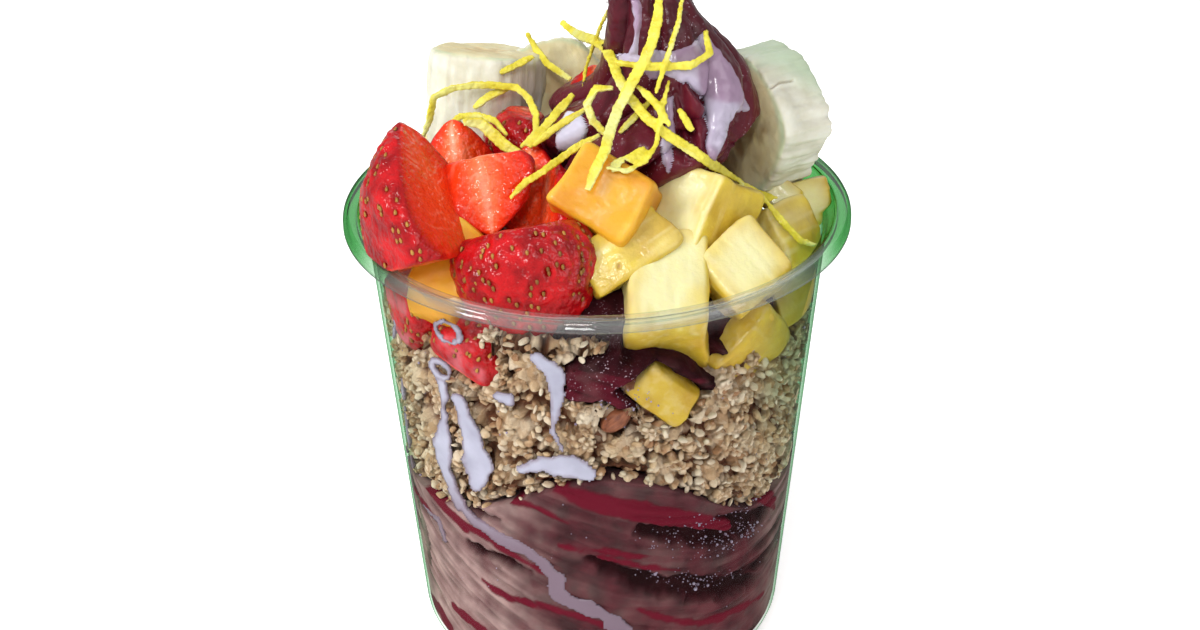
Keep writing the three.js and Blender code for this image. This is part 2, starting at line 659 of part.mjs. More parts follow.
// A strip's line where it has come to rest: it bridges hollows, bends softly and keeps its lift.
function restingLine(path, lift, heap) {
  const drawn = new THREE.CatmullRomCurve3(
    path.map(([across, up]) => new THREE.Vector3(across, up, 0)),
    false,
    "centripetal",
  );
  const count = Math.max(4, Math.round(drawn.getLength() / FALL_STEP));
  const spots = Array.from({ length: count + 1 }, (_, i) => {
    const { x, y } = drawn.getPointAt(i / count);
    return new THREE.Vector3(x, 0, SHEET_HEIGHT).addScaledVector(SHEET_UP, y);
  });
  const found = spots.map((spot) => heapDepth(spot, heap));
  const nearestFound = (i) => {
    const order = found.map((depth, k) => ({ depth, away: Math.abs(k - i) }));
    return order.filter(({ depth }) => depth !== null).sort((a, b) => a.away - b.away)[0].depth;
  };
  const reach = Math.round(ZEST_BRIDGE / FALL_STEP);
  const mean = (values) => values.reduce((sum, value) => sum + value) / values.length;
  let depths = found.map((depth, i) => depth ?? nearestFound(i));
  depths = spread(depths, reach, (values) => Math.max(...values));
  for (let pass = 0; pass < 2; pass++) depths = spread(depths, reach, mean);
  const resting = spots.map((spot, i) => spot.clone().addScaledVector(TO_FRONT, depths[i] + lift));
  return new THREE.CatmullRomCurve3(resting, false, "centripetal");
}

// A flat section swept along a strip's line, turned about it from one roll to the other.
function stripSolid([width, lift, [firstRoll, lastRoll], path], heap) {
  const line = restingLine(path, lift, heap);
  const steps = Math.max(4, Math.round(line.getLength() / ZEST_STEP));
  const rings = [];
  for (let i = 0; i <= steps; i++) {
    const share = i / steps;
    const middle = line.getPointAt(share);
    const along = line.getTangentAt(share);
    const side = new THREE.Vector3().crossVectors(TO_FRONT, along).normalize();
    side.applyAxisAngle(along, radians(mix(firstRoll, lastRoll, share)));
    const face = new THREE.Vector3().crossVectors(along, side);
    const w = (width / 2) * Math.min(1, 0.6 + 4 * Math.min(share, 1 - share));
    const t = ZEST_THICKNESS / 2;
    const corners = [
      [w, t],
      [-w, t],
      [-w, -t],
      [w, -t],
    ];
    rings.push(
      corners.map(([a, b]) => middle.clone().addScaledVector(side, a).addScaledVector(face, b)),
    );
  }
  return toSolid(closedSkin(rings, line.getPointAt(0), line.getPointAt(1)));
}

// ---------------------------------------------------------------- assembly

function finishOf(kind) {
  const [colour, roughness, metalness, opacity] = FINISH[kind];
  const clear = opacity < 1;
  return new THREE.MeshStandardMaterial({
    color: colour,
    roughness,
    metalness,
    opacity,
    transparent: clear,
  });
}

function addMesh(group, name, kind, solid, matrix = new THREE.Matrix4()) {
  const geometry = toGeometry(solid).applyMatrix4(matrix.clone().invert());
  const mesh = new THREE.Mesh(geometry, finishOf(kind));
  mesh.name = name;
  mesh.applyMatrix4(matrix);
  group.add(mesh);
  return mesh;
}

function buildServing() {
  const serving = new THREE.Group();
  const room = toSolid(roomGeometry());
  addMesh(serving, "cup", "cup", toSolid(cupGeometry()));
  addMesh(serving, "acai_base", "acai", toSolid(baseGeometry()));

  const fruit = Object.entries(PIECES).map(([name, [shape, at, turn]]) => {
    const matrix = facing(...turn).setPosition(...at);
    const placed = (grow) => shape(grow).transform(matrix.toArray());
    return { name, matrix, solid: placed(0), pressed: placed(PRESS_GAP) };
  });
  const heap = fruit.map(({ name, matrix, solid }, order) => {
    const earlier = fruit.slice(0, order);
    const left = earlier.reduce(
      (rest, before) => rest.subtract(before.pressed),
      solid.intersect(room),
    );
    return addMesh(serving, name, name.split("_")[0], largest(left), matrix);
  });
  const allPressed = wasm.Manifold.union(fruit.map((piece) => piece.pressed));

  const swirl = toSolid(bedGeometry(0)).add(toSolid(peakGeometry(0)));
  const swirlLeft = largest(swirl.intersect(room).subtract(allPressed));
  heap.push(addMesh(serving, "acai_swirl", "acai", swirlLeft));
  const granola = granolaSolid().intersect(room).subtract(toSolid(bedGeometry(PRESS_GAP)));
  addMesh(serving, "granola", "granola", largest(granola.subtract(allPressed)));

  serving.updateMatrixWorld(true);
  const near = allPressed.add(toSolid(peakGeometry(PRESS_GAP)));
  const laid = Object.values(STRIPS).map((strip) => stripSolid(strip, heap));
  const zest = wasm.Manifold.union(laid).intersect(room).subtract(near);
  const strips = zest.decompose().filter((body) => body.volume() > ZEST_SCRAP);
  strips.sort((a, b) => b.volume() - a.volume());
  strips.forEach((body, order) => addMesh(serving, `lemon_zest_${order + 1}`, "zest", body));
  return serving;
}

export default buildServing();
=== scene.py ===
"""The looks of an acai bowl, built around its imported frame. Lengths are millimetres until a mesh is
made; +Z is up, and -Y is the front."""

import functools
import math

import bmesh
import bpy
import numpy as np
from mathutils import Matrix, Vector


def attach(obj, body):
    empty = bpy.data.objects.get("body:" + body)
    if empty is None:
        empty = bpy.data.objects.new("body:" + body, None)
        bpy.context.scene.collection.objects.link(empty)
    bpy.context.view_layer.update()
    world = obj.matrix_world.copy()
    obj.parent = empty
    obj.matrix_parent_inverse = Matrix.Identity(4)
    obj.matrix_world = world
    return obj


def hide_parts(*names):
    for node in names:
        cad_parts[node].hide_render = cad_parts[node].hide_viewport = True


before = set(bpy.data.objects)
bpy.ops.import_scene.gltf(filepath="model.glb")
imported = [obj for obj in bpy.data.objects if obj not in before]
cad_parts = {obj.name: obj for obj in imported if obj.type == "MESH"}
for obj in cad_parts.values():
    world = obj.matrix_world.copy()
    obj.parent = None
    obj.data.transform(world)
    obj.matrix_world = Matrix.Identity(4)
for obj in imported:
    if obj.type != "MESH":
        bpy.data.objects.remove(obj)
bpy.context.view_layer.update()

MM = 0.001
TAU = 2 * math.pi

# The cup's sizes, as the frame has them.
CUP_HEIGHT = 111.0
RIM_RADIUS = 58.5
WALL = 0.8
WALL_TOP_RADIUS = 53.4
WALL_FOOT_RADIUS = 44.2
FOOT_CORNER = 6.0
FOOT_RING_RADIUS = 34.4
FOOT_RECESS = 1.6
LID_SEAT_Z = 107.0
LID_SEAT_STEP = 2.3

# The photograph's camera: how steeply it looks down, how far it stands from where it aims, its
# roll, and its focal length in pixels of the 1200 x 630 photograph.
IMAGE_SIZE = (1200, 630)
LOOK_DOWN = math.radians(28.9)
CAMERA_DISTANCE = 520.0
CAMERA_AIM = np.array([0.4, 0.0, 80.5])
CAMERA_ROLL = math.radians(-0.69)
FOCAL_PIXELS = 2189.5


# ---------------------------------------------------------------- numbers

def smooth(low, high, x):
    t = np.clip((x - low) / (high - low), 0.0, 1.0)
    return t * t * (3 - 2 * t)


def mix(a, b, t):
    return a + (b - a) * t


def bump(angle, middle, width):
    """1 at angle `middle`, falling to 0 at `width` either side, in degrees."""
    away = np.abs((angle - middle + 540) % 360 - 180)
    return 1 - smooth(0, width, away)


def softest(values, softness):
    """A rounded maximum of several arrays."""
    top = np.max(values, axis=0)
    total = sum(np.exp((value - top) / softness) for value in values)
    return top + softness * np.log(total)


def off_axis(points):
    """How far points lie from the Z axis."""
    return np.hypot(points[:, 0], points[:, 1])


def round_axis(points):
    """The angle of points round the Z axis, from +X."""
    return np.arctan2(points[:, 1], points[:, 0])


def from_front(points):
    """The angle of points round the Z axis, from the front."""
    return np.arctan2(points[:, 0], -points[:, 1])


def drawn_in(points, share):
    """Points moved to a share of their distance from the Z axis."""
    return points * np.stack([share, share, np.ones_like(share)], axis=1)


def round_angles(columns):
    """Angles all round the Z axis, in radians and in degrees."""
    angles = np.arange(columns) / columns * TAU
    return angles, np.degrees(angles)


def round_points(angles, radius, height):
    return np.stack([radius * np.cos(angles), radius * np.sin(angles), height], axis=-1)


LATTICE_SIZE = 32
LATTICE = np.random.default_rng(7).random((LATTICE_SIZE,) * 3 + (4,))


def noise(points, size, seed=0):
    """Smooth noise from -1 to 1, with bumps about `size` across."""
    scaled = points / size + 5.31 * seed
    cell = np.floor(scaled).astype(int)
    t = scaled - cell
    t = t * t * (3 - 2 * t)
    total = np.zeros(len(points))
    for corner in np.ndindex(2, 2, 2):
        weight = np.prod(np.where(corner, t, 1 - t), axis=1)
        x, y, z = ((cell + corner) % LATTICE_SIZE).T
        total += weight * LATTICE[x, y, z, 3]
    return 2 * total - 1


def rough(points, size, octaves=3, seed=0):
    """Noise with finer noise on top."""
    return sum(noise(points, size / 2**k, seed + k) * 0.55**k for k in range(octaves))


def cells(points, size, seed=0):
    """Distances to the nearest two of scattered middles, in sizes, and a shade for the nearest."""
    scaled = points / size + 3.17 * seed
    base = np.floor(scaled).astype(int)
    first = np.full(len(points), 9.0)
    second = first.copy()
    shade = np.zeros(len(points))
    for offset in np.ndindex(3, 3, 3):
        cell = base + offset - np.array([1, 1, 1])
        x, y, z = (cell % LATTICE_SIZE).T
        draw = LATTICE[x, y, z]
        away = np.linalg.norm(cell + draw[:, :3] - scaled, axis=1)
        closer = away < first
        second = np.where(closer, first, np.minimum(second, away))
        shade = np.where(closer, draw[:, 3], shade)
        first = np.where(closer, away, first)
    return first, second, shade


def random_from(seed):
    """The same repeatable draw that shapes the frame's cubes of fruit."""
    state = seed

    def draw():
        nonlocal state
        state = (state + 0x6D2B79F5) & 0xFFFFFFFF
        t = ((state ^ (state >> 15)) * (1 | state)) & 0xFFFFFFFF
        t = ((t + (((t ^ (t >> 7)) * (61 | t)) & 0xFFFFFFFF)) & 0xFFFFFFFF) ^ t
        return ((t ^ (t >> 14)) & 0xFFFFFFFF) / 4294967296

    return draw


# ---------------------------------------------------------------- the photograph's view

def camera_axes():
    back = np.array([0.0, -math.cos(LOOK_DOWN), math.sin(LOOK_DOWN)])
    level = np.array([1.0, 0.0, 0.0])
    upright = np.cross(level, -back)
    right = math.cos(CAMERA_ROLL) * level + math.sin(CAMERA_ROLL) * upright
    up = -math.sin(CAMERA_ROLL) * level + math.cos(CAMERA_ROLL) * upright
    return right, up, back


RIGHT, UP, BACK = camera_axes()
CAMERA_SPOT = CAMERA_AIM + BACK * CAMERA_DISTANCE


def pixels_of(points):
    """Where points show in the photograph."""
    away = points - CAMERA_SPOT
    depth = -(away @ BACK)
    return np.stack([
        IMAGE_SIZE[0] / 2 + FOCAL_PIXELS * (away @ RIGHT) / depth,
        IMAGE_SIZE[1] / 2 - FOCAL_PIXELS * (away @ UP) / depth,
    ], axis=1)


def spot_mark(pixels, x, y, wide, high):
    """1 at a pixel, fading out over a half width and a half height."""
    away = (pixels - [x, y]) / [wide, high]
    return np.exp(-(away**2).sum(axis=1))


def outer_wall(z):
    share = (z - FOOT_CORNER) / (CUP_HEIGHT - FOOT_CORNER)
    return mix(WALL_FOOT_RADIUS, WALL_TOP_RADIUS, share)


def inner_wall(z):
    """The radius of the cup's inside, round the foot's corner too."""
    corner = FOOT_CORNER - WALL
    drop = np.clip((FOOT_CORNER - z) / corner, 0, 1)
    return outer_wall(np.maximum(z, FOOT_CORNER)) - WALL - corner * (1 - np.sqrt(1 - drop * drop))


# The cup's wall is looked for from this far before to this far past where the camera aims.
WALL_BEFORE = 110
WALL_PAST = 60
WALL_STEPS = 3400


def on_wall(pixels):
    """Where pixels fall on the inside of the cup's wall: millimetres round it from the front, and
    height. A pixel beside the cup falls where its line of sight comes closest."""
    spots = []
    for x, y in pixels:
        way = -BACK + RIGHT * (x - IMAGE_SIZE[0] / 2) / FOCAL_PIXELS
        way = way - UP * (y - IMAGE_SIZE[1] / 2) / FOCAL_PIXELS
        reach = np.linspace(-WALL_BEFORE, WALL_PAST, WALL_STEPS) + CAMERA_DISTANCE
        line = CAMERA_SPOT + reach[:, None] * way
        gap = off_axis(line) - inner_wall(line[:, 2])
        spot = line[np.argmax(gap <= max(gap.min(), 0))]
        turn = math.atan2(spot[0], -spot[1])
        spots.append([turn * inner_wall(spot[2]), spot[2]])
    return np.array(spots)


# ---------------------------------------------------------------- meshes

def ring_faces(rings, columns):
    """Quads between rings of points that close on themselves."""
    row = np.arange(rings - 1)[:, None] * columns
    here = np.arange(columns)
    there = (here + 1) % columns
    quads = [row + here, row + there, row + columns + there, row + columns + here]
    return np.stack(quads, axis=-1).reshape(-1, 4)


def capped(rings):
    """Points and faces of a closed skin through equal rings, from the bottom up."""
    columns = len(rings[0])
    points = np.concatenate([*rings, [rings[0].mean(0)], [rings[-1].mean(0)]])
    last = len(rings) * columns
    here = np.arange(columns)
    there = (here + 1) % columns
    top = last - columns
    low = np.stack([np.full(columns, last), there, here], axis=1)
    high = np.stack([top + here, top + there, np.full(columns, last + 1)], axis=1)
    return points, [ring_faces(len(rings), columns), low, high]


def grid_faces(rows, columns):
    """Quads between the points of an open grid."""
    here = (np.arange(rows - 1)[:, None] * columns + np.arange(columns - 1)).ravel()
    return np.stack([here, here + 1, here + columns + 1, here + columns], axis=1)


def faces_of_copies(faces, count):
    """The faces of many copies of one lump, whose points follow each other."""
    starts = np.arange(count)[:, None, None] * (faces.max() + 1)
    return (faces[None] + starts).reshape(-1, 3)


def normals_of(points, faces):
    total = np.zeros_like(points)
    for group in faces:
        corners = points[group]
        across = np.cross(corners[:, 2] - corners[:, 0], corners[:, -1] - corners[:, 1])
        if group.shape[1] == 3:
            across = np.cross(corners[:, 1] - corners[:, 0], corners[:, 2] - corners[:, 0])
        for k in range(group.shape[1]):
            np.add.at(total, group[:, k], across)
    return total / np.maximum(np.linalg.norm(total, axis=1, keepdims=True), 1e-9)


def make_mesh(name, points, faces, marks):
    """A mesh of points in millimetres, with marks that its material reads."""
    mesh = bpy.data.meshes.new(name)
    mesh.vertices.add(len(points))
    mesh.vertices.foreach_set("co", (points * MM).astype(np.float32).ravel())
    sizes = np.concatenate([np.full(len(group), group.shape[1]) for group in faces])
    mesh.loops.add(int(sizes.sum()))
    mesh.loops.foreach_set("vertex_index", np.concatenate([group.ravel() for group in faces]))
    mesh.polygons.add(len(sizes))
    mesh.polygons.foreach_set("loop_start", np.concatenate([[0], np.cumsum(sizes)[:-1]]))
    mesh.update(calc_edges=True)
    mesh.polygons.foreach_set("use_smooth", np.ones(len(sizes), dtype=bool))
    for mark, values in marks.items():
        if values.ndim == 2:
            layer = mesh.attributes.new(mark, "FLOAT_VECTOR", "POINT")
            layer.data.foreach_set("vector", values.astype(np.float32).ravel())
        else:
            layer = mesh.attributes.new(mark, "FLOAT", "POINT")
            layer.data.foreach_set("value", values.astype(np.float32))
    return mesh


def add_piece(name, points, faces, marks, material, nodes=()):
    """One visible piece of the object, and the frame's nodes that it stands for."""
    mesh = make_mesh(name, points, faces, marks)
    mesh.materials.append(material)
    piece = bpy.data.objects.new(name, mesh)
    bpy.context.scene.collection.objects.link(piece)
    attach(piece, "root")
    if nodes:
        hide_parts(*nodes)


@functools.cache
def ball(detail):
    """Directions spread evenly all round, and the faces between them."""
    build = bmesh.new()
    bmesh.ops.create_icosphere(build, subdivisions=detail, radius=1.0)
    points = np.array([vertex.co[:] for vertex in build.verts])
    faces = np.array([[vertex.index for vertex in face.verts] for face in build.faces])
    build.free()
    return points, faces


def read_points(mesh):
    """A mesh's points, in millimetres."""
    points = np.empty(len(mesh.vertices) * 3, dtype=np.float32)
    mesh.vertices.foreach_get("co", points)
    return points.reshape(-1, 3).astype(float) / MM


def node_corners(node):
    """The corners of a node's triangles, in millimetres."""
    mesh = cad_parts[node].data
    mesh.calc_loop_triangles()
    corners = np.empty(len(mesh.loop_triangles) * 3, dtype=np.int32)
    mesh.loop_triangles.foreach_get("vertices", corners)
    return read_points(mesh)[corners.reshape(-1, 3)]


def middle_of(node):
    """The middle of a node's skin."""
    corners = node_corners(node)
    edges = np.cross(corners[:, 1] - corners[:, 0], corners[:, 2] - corners[:, 0])
    area = np.linalg.norm(edges, axis=1)
    return (corners.mean(axis=1) * area[:, None]).sum(0) / area.sum()


# ---------------------------------------------------------------- materials

def colour(red, green, blue):
    """A colour on the screen's 0 to 255 scale, as light."""
    return tuple(
        (v / 255 / 12.92) if v / 255 <= 0.04045 else ((v / 255 + 0.055) / 1.055) ** 2.4
        for v in (red, green, blue)
    ) + (1.0,)


# The sockets of a colour mix: how much of the second colour, and the two colours.
MIX_AMOUNT, MIX_FIRST, MIX_SECOND, MIX_RESULT = 0, 6, 7, 2


class Look:
    """A material whose nodes are added by short calls. `flesh` says how far red, green and blue
    light wander inside, in millimetres. A mark that a mesh doesn't have counts as 0."""

    def __init__(self, name, flesh=None, **settings):
        self.material = bpy.data.materials.new(name)
        self.material.use_nodes = True
        self.tree = self.material.node_tree
        self.shader = self.tree.nodes["Principled BSDF"]
        for key, value in settings.items():
            self.shader.inputs[key.replace("_", " ")].default_value = value
        if flesh:
            self.shader.inputs["Subsurface Radius"].default_value = [v * MM for v in flesh]

    def node(self, kind, **inputs):
        made = self.tree.nodes.new(kind)
        for key, value in inputs.items():
            self.feed(made.inputs[key.replace("_", " ")], value)
        return made

    def feed(self, socket, value):
        if isinstance(value, bpy.types.NodeSocket):
            self.tree.links.new(value, socket)
        else:
            socket.default_value = value

    def mark(self, name):
        made = self.tree.nodes.new("ShaderNodeAttribute")
        made.attribute_name = name
        return made.outputs["Fac"]

    def place(self):
        """Object coordinates in millimetres."""
        made = self.tree.nodes.new("ShaderNodeTexCoord")
        scale = self.node("ShaderNodeMapping", Vector=made.outputs["Object"])
        scale.inputs["Scale"].default_value = [1 / MM] * 3
        return scale.outputs["Vector"]

    def own_place(self, stretch=(1, 1, 1)):
        """A piece's own coordinates in millimetres, stretched."""
        made = self.tree.nodes.new("ShaderNodeAttribute")
        made.attribute_name = "own"
        scale = self.node("ShaderNodeMapping", Vector=made.outputs["Vector"])
        scale.inputs["Scale"].default_value = stretch
        return scale.outputs["Vector"]

    def noise(self, size, vector=None, detail=3.0, fineness=0.5):
        """Noise from 0 to 1 with bumps about `size` millimetres across."""
        made = self.node("ShaderNodeTexNoise", Vector=vector or self.place(), Detail=detail)
        made.inputs["Scale"].default_value = 1.0 / size
        made.inputs["Roughness"].default_value = fineness
        return made.outputs["Fac"]

    def ramp(self, value, *stops):
        made = self.node("ShaderNodeValToRGB", Fac=value)
        elements = made.color_ramp.elements
        while len(elements) < len(stops):
            elements.new(0.5)
        for element, (position, shade) in zip(elements, stops):
            element.position = position
            element.color = shade if isinstance(shade, tuple) else (shade, shade, shade, 1)
        return made.outputs["Color"]

    def mixed(self, amount, first, second):
        made = self.tree.nodes.new("ShaderNodeMix")
        made.data_type = "RGBA"
        self.feed(made.inputs[MIX_AMOUNT], amount)
        self.feed(made.inputs[MIX_FIRST], first)
        self.feed(made.inputs[MIX_SECOND], second)
        return made.outputs[MIX_RESULT]

    def tinted(self, base, mark, red, green, blue):
        """A colour laid over another as far as a mark says."""
        return self.mixed(self.mark(mark), base, colour(red, green, blue))

    def mottled(self, size, first, second, low=0.3, high=0.7):
        """Two colours that drift into each other over about `size` millimetres."""
        return self.ramp(self.noise(size), (low, colour(*first)), (high, colour(*second)))

    def shaders_mixed(self, amount, first, second):
        made = self.tree.nodes.new("ShaderNodeMixShader")
        for socket, value in zip(made.inputs, (amount, first, second)):
            self.feed(socket, value)
        return made.outputs[0]

    def maths(self, operation, first, second):
        made = self.tree.nodes.new("ShaderNodeMath")
        made.operation = operation
        for socket, value in zip(made.inputs, (first, second)):
            self.feed(socket, value)
        return made.outputs[0]

    def relief(self, height, depth):
        """Bump `depth` millimetres deep."""
        made = self.node("ShaderNodeBump", Height=height)
        made.inputs["Distance"].default_value = depth * MM
        self.tree.links.new(made.outputs["Normal"], self.shader.inputs["Normal"])
        self.tree.links.new(made.outputs["Normal"], self.shader.inputs["Coat Normal"])

    def colour(self, value):
        self.feed(self.shader.inputs["Base Color"], value)


def strawberry_look():
    look = Look(
        "strawberry_flesh", flesh=(0.9, 0.5, 0.3), Subsurface_Weight=0.06, Roughness=0.45,
        Specular_IOR_Level=0.12, Coat_Weight=0.85, Coat_Roughness=0.05)
    skin = look.mottled(5.5, (142, 2, 10), (198, 14, 22), 0.35, 0.62)
    # Painted shade: the skin is darker in the pits round the seeds.
    shaded_pits = look.tinted(skin, "pit_shade", 118, 4, 8)
    rim = look.ramp(
        look.mark("core"), (0.0, colour(250, 178, 148)), (0.16, colour(244, 116, 68)),
        (0.42, colour(236, 66, 18)), (0.85, colour(222, 38, 12)), (0.97, colour(170, 6, 10)))
    streaks = look.tinted(rim, "streak", 255, 190, 158)
    flesh = look.mixed(look.mark("cut"), shaded_pits, streaks)
    look.colour(look.tinted(flesh, "milky", 206, 122, 132))
    look.relief(look.noise(1.9, detail=2.0), 0.8)
    return look.material


def seed_look():
    look = Look("strawberry_seed", Roughness=0.35)
    look.colour(look.mottled(6.0, (118, 70, 24), (184, 134, 58)))
    return look.material


def mango_look():
    look = Look(
        "mango_flesh", flesh=(1.6, 0.9, 0.3), Roughness=0.38, Subsurface_Weight=0.3, Coat_Weight=0.06)
    base = look.mottled(9.0, (208, 134, 14), (222, 164, 30))
    # Painted light: the edges are lighter, as light glows through the thin flesh there.
    look.colour(look.tinted(base, "edge", 236, 190, 70))
    look.relief(look.noise(2.2, look.own_place((1, 1, 0.3))), 0.15)
    return look.material


def pineapple_look():
    look = Look(
        "pineapple_flesh", flesh=(2.2, 1.7, 0.5), Roughness=0.3, Subsurface_Weight=0.3, Coat_Weight=0.2)
    base = look.mottled(7.0, (192, 152, 14), (220, 190, 46), 0.32, 0.66)
    # Painted light: pale where faces turn toward the key lamp.
    lit_pale = look.tinted(base, "lit_pale", 232, 227, 174)
    lit_pale = look.tinted(lit_pale, "fibre", 252, 247, 208)
    # Painted shade below the rim.
    shade_below_rim = look.tinted(lit_pale, "shade_below_rim", 176, 138, 32)
    look.colour(look.tinted(shade_below_rim, "eye", 160, 106, 50))
    look.relief(look.noise(1.6), 0.22)
    return look.material


def banana_look():
    look = Look("banana_flesh", flesh=(1.4, 1.1, 0.7), Roughness=0.48, Subsurface_Weight=0.25)
    face = look.mottled(8.0, (220, 203, 150), (233, 225, 184))
    core = look.tinted(face, "core", 206, 172, 116)
    side = look.mottled(5.0, (208, 204, 182), (232, 230, 216))
    whole = look.mixed(look.mark("side"), core, side)
    # Painted shade in the grooves between the strings.
    string_shaded = look.tinted(whole, "string_shade", 186, 180, 158)
    # Painted reflection: a pale green band on the rims, reflected from green surroundings.
    green = look.tinted(string_shaded, "rim", 186, 208, 176)
    # Brown spots: partly real bruises, partly painted shade near the peak and in the crack.
    look.colour(look.tinted(green, "bruise_and_shade", 140, 94, 48))
    look.relief(look.noise(1.6, look.own_place((1, 1, 0.25)), 4.0), 0.25)
    return look.material


def almond_look():
    look = Look("almond_skin", Roughness=0.5)
    lines = look.noise(0.8, look.own_place((1, 1, 0.15)), 3.0)
    look.colour(look.ramp(lines, (0.35, colour(108, 56, 36)), (0.7, colour(158, 94, 62))))
    look.relief(lines, 0.2)
    return look.material


def puree_look(name, shine, roughness):
    """Frozen puree: marks say where the wall hazes it, where it stands back and is darkened as painted
    shade, where it is bright maroon, and where it is speckled with frost."""
    look = Look(name, Roughness=roughness, Specular_IOR_Level=shine)
    wet = look.mottled(5.0, (42, 12, 20), (78, 26, 36), 0.35, 0.65)
    haze = look.ramp(
        look.noise(6.0, detail=5.0), (0.3, colour(128, 100, 98)), (0.7, colour(182, 154, 148)))
    hazed = look.mixed(look.mark("haze"), wet, haze)
    bright = look.tinted(hazed, "maroon", 100, 22, 38)
    # Painted shade where the puree stands back from the wall.
    dark = look.tinted(bright, "deep_shade", 30, 14, 14)
    specks = look.ramp(look.noise(0.55, detail=1.0), (0.66, 0.0), (0.72, 1.0))
    frosted = look.maths("MULTIPLY", specks, look.mark("frost"))
    look.colour(look.mixed(frosted, dark, colour(186, 160, 172)))
    look.relief(look.noise(1.5, detail=4.0), 0.15)
    return look.material


MILK_LIGHTER = 24


def milk_look(name, thick, thin):
    """Milk in two shades where it is thick, and lilac where the puree shows through it."""
    look = Look(name, flesh=(1.0, 0.9, 1.0), Roughness=0.22, Subsurface_Weight=0.4, Coat_Weight=0.3)
    lighter = [value + MILK_LIGHTER for value in thick]
    tone = look.mottled(7.0, thick, lighter)
    look.colour(look.tinted(tone, "lilac", *thin))
    look.relief(look.noise(3.0, detail=3.0), 0.1)
    return look.material


def granola_look():
    look = Look("granola_clusters", Roughness=0.8, Specular_IOR_Level=0.15)
    grain = look.noise(1.3, detail=4.0)
    base = look.ramp(
        look.mark("tone"), (0.0, colour(176, 130, 94)), (0.4, colour(222, 188, 148)),
        (1.0, colour(248, 230, 204)))
    speckled = look.mixed(look.ramp(grain, (0.55, 0.0), (0.72, 0.55)), base, colour(250, 234, 208))
    # Painted shade: the gap mark darkens the crevices between the bits.
    look.colour(look.tinted(speckled, "gap", 126, 80, 56))
    look.relief(look.noise(1.3, detail=7.0, fineness=0.75), 1.3)
    return look.material


def zest_look():
    look = Look(
        "lemon_peel", flesh=(0.8, 0.7, 0.2), Roughness=0.42, Subsurface_Weight=0.2, Coat_Weight=0.1)
    peel = look.mottled(3.0, (206, 190, 36), (236, 226, 84))
    look.colour(look.tinted(peel, "pith", 222, 226, 150))
    look.relief(look.noise(0.7, detail=2.0), 0.16)
    return look.material


RIM_HAZE = 0.03


def cup_look():
    """Clear plastic: what is behind shows through, tinted green where the wall is seen edge on. The
    rim mark makes it greener still, as painted reflection of green surroundings.
    """
    look = Look("clear_plastic")
    tree = look.tree
    clear = tree.nodes.new("ShaderNodeBsdfTransparent")
    edge = look.node("ShaderNodeLayerWeight", Blend=0.32)
    facing = edge.outputs["Facing"]
    tint = look.ramp(
        facing, (0.35, colour(255, 255, 255)), (0.6, colour(246, 252, 247)),
        (0.85, colour(152, 204, 164)), (1.0, colour(56, 126, 72)))
    at_rim = look.ramp(
        facing, (0.0, colour(190, 228, 196)), (0.4, colour(126, 190, 134)),
        (0.7, colour(66, 148, 82)), (1.0, colour(24, 92, 42)))
    # The rim mark paints green reflection into what shows through.
    look.feed(clear.inputs["Color"], look.mixed(look.mark("rim"), tint, at_rim))
    gloss = tree.nodes.new("ShaderNodeBsdfGlossy")
    gloss.inputs["Roughness"].default_value = 0.05
    wall_gloss = look.ramp(facing, (0.0, 0.0006), (0.3, 0.003), (0.6, 0.02), (0.94, 0.3))
    rim_gloss = look.ramp(facing, (0.0, 0.03), (0.3, 0.14), (0.55, 0.3), (0.88, 0.6))
    amount = look.mixed(look.mark("lip"), wall_gloss, rim_gloss)
    cloudy = look.node("ShaderNodeBsdfDiffuse", Color=colour(250, 250, 250))
    haze = look.maths("MULTIPLY", look.mark("cloudy"), RIM_HAZE)
    shine = look.shaders_mixed(amount, clear.outputs[0], gloss.outputs[0])
    hazed = look.shaders_mixed(haze, shine, cloudy.outputs[0])
    look.feed(tree.nodes["Material Output"].inputs["Surface"], hazed)
    tree.nodes.remove(look.shader)
    return look.material


def floor_look():
    look = Look("pale_floor", Roughness=0.9, Emission_Strength=0.55)
    look.shader.inputs["Emission Color"].default_value = (1, 1, 1, 1)
    look.colour(look.ramp(look.noise(40.0), (0.0, colour(247, 247, 247)), (1.0, colour(250, 250, 250))))
    return look.material


# ---------------------------------------------------------------- fruit

def turned(lean, compass, spin):
    """A turn in degrees, whose rows take the piece's own axes to the frame's."""
    turn = Matrix.Rotation(math.radians(compass), 3, "Z")
    turn = turn @ Matrix.Rotation(math.radians(lean), 3, "Y")
    return np.array(turn @ Matrix.Rotation(math.radians(spin), 3, "Z"))


def cut_depth(own, around, rise, distance):
    """How far points lie beyond a knife cut, as the frame's berries have it."""
    around, rise = math.radians(around), math.radians(rise)
    normal = [math.cos(rise) * math.cos(around), math.cos(rise) * math.sin(around), math.sin(rise)]
    return own @ np.array(normal) - distance


def berry_radius(share, angle, width):
    share = np.clip(share, 0.004, 0.996)
    swell = np.sin(math.pi * share**0.62) ** 0.72
    return width / 2 * swell * (1 + 0.04 * np.sin(3 * angle + 2 * share))


HULL_CUT = 0.12


def berry(length, width, *cuts):
    """Skin, hull end and knife cuts of a strawberry whose tip is its own +Z."""
    def sides(own):
        share = own[:, 2] / length + 0.5
        angle = round_axis(own)
        skin = off_axis(own) - berry_radius(share, angle, width)
        hull = cut_depth(own, 0, -90, (0.5 - HULL_CUT) * length)
        return [skin, own[:, 2] - length / 2, hull] + [cut_depth(own, *cut) for cut in cuts]
    return {"sides": sides, "soft": 0.35, "length": length, "width": width}


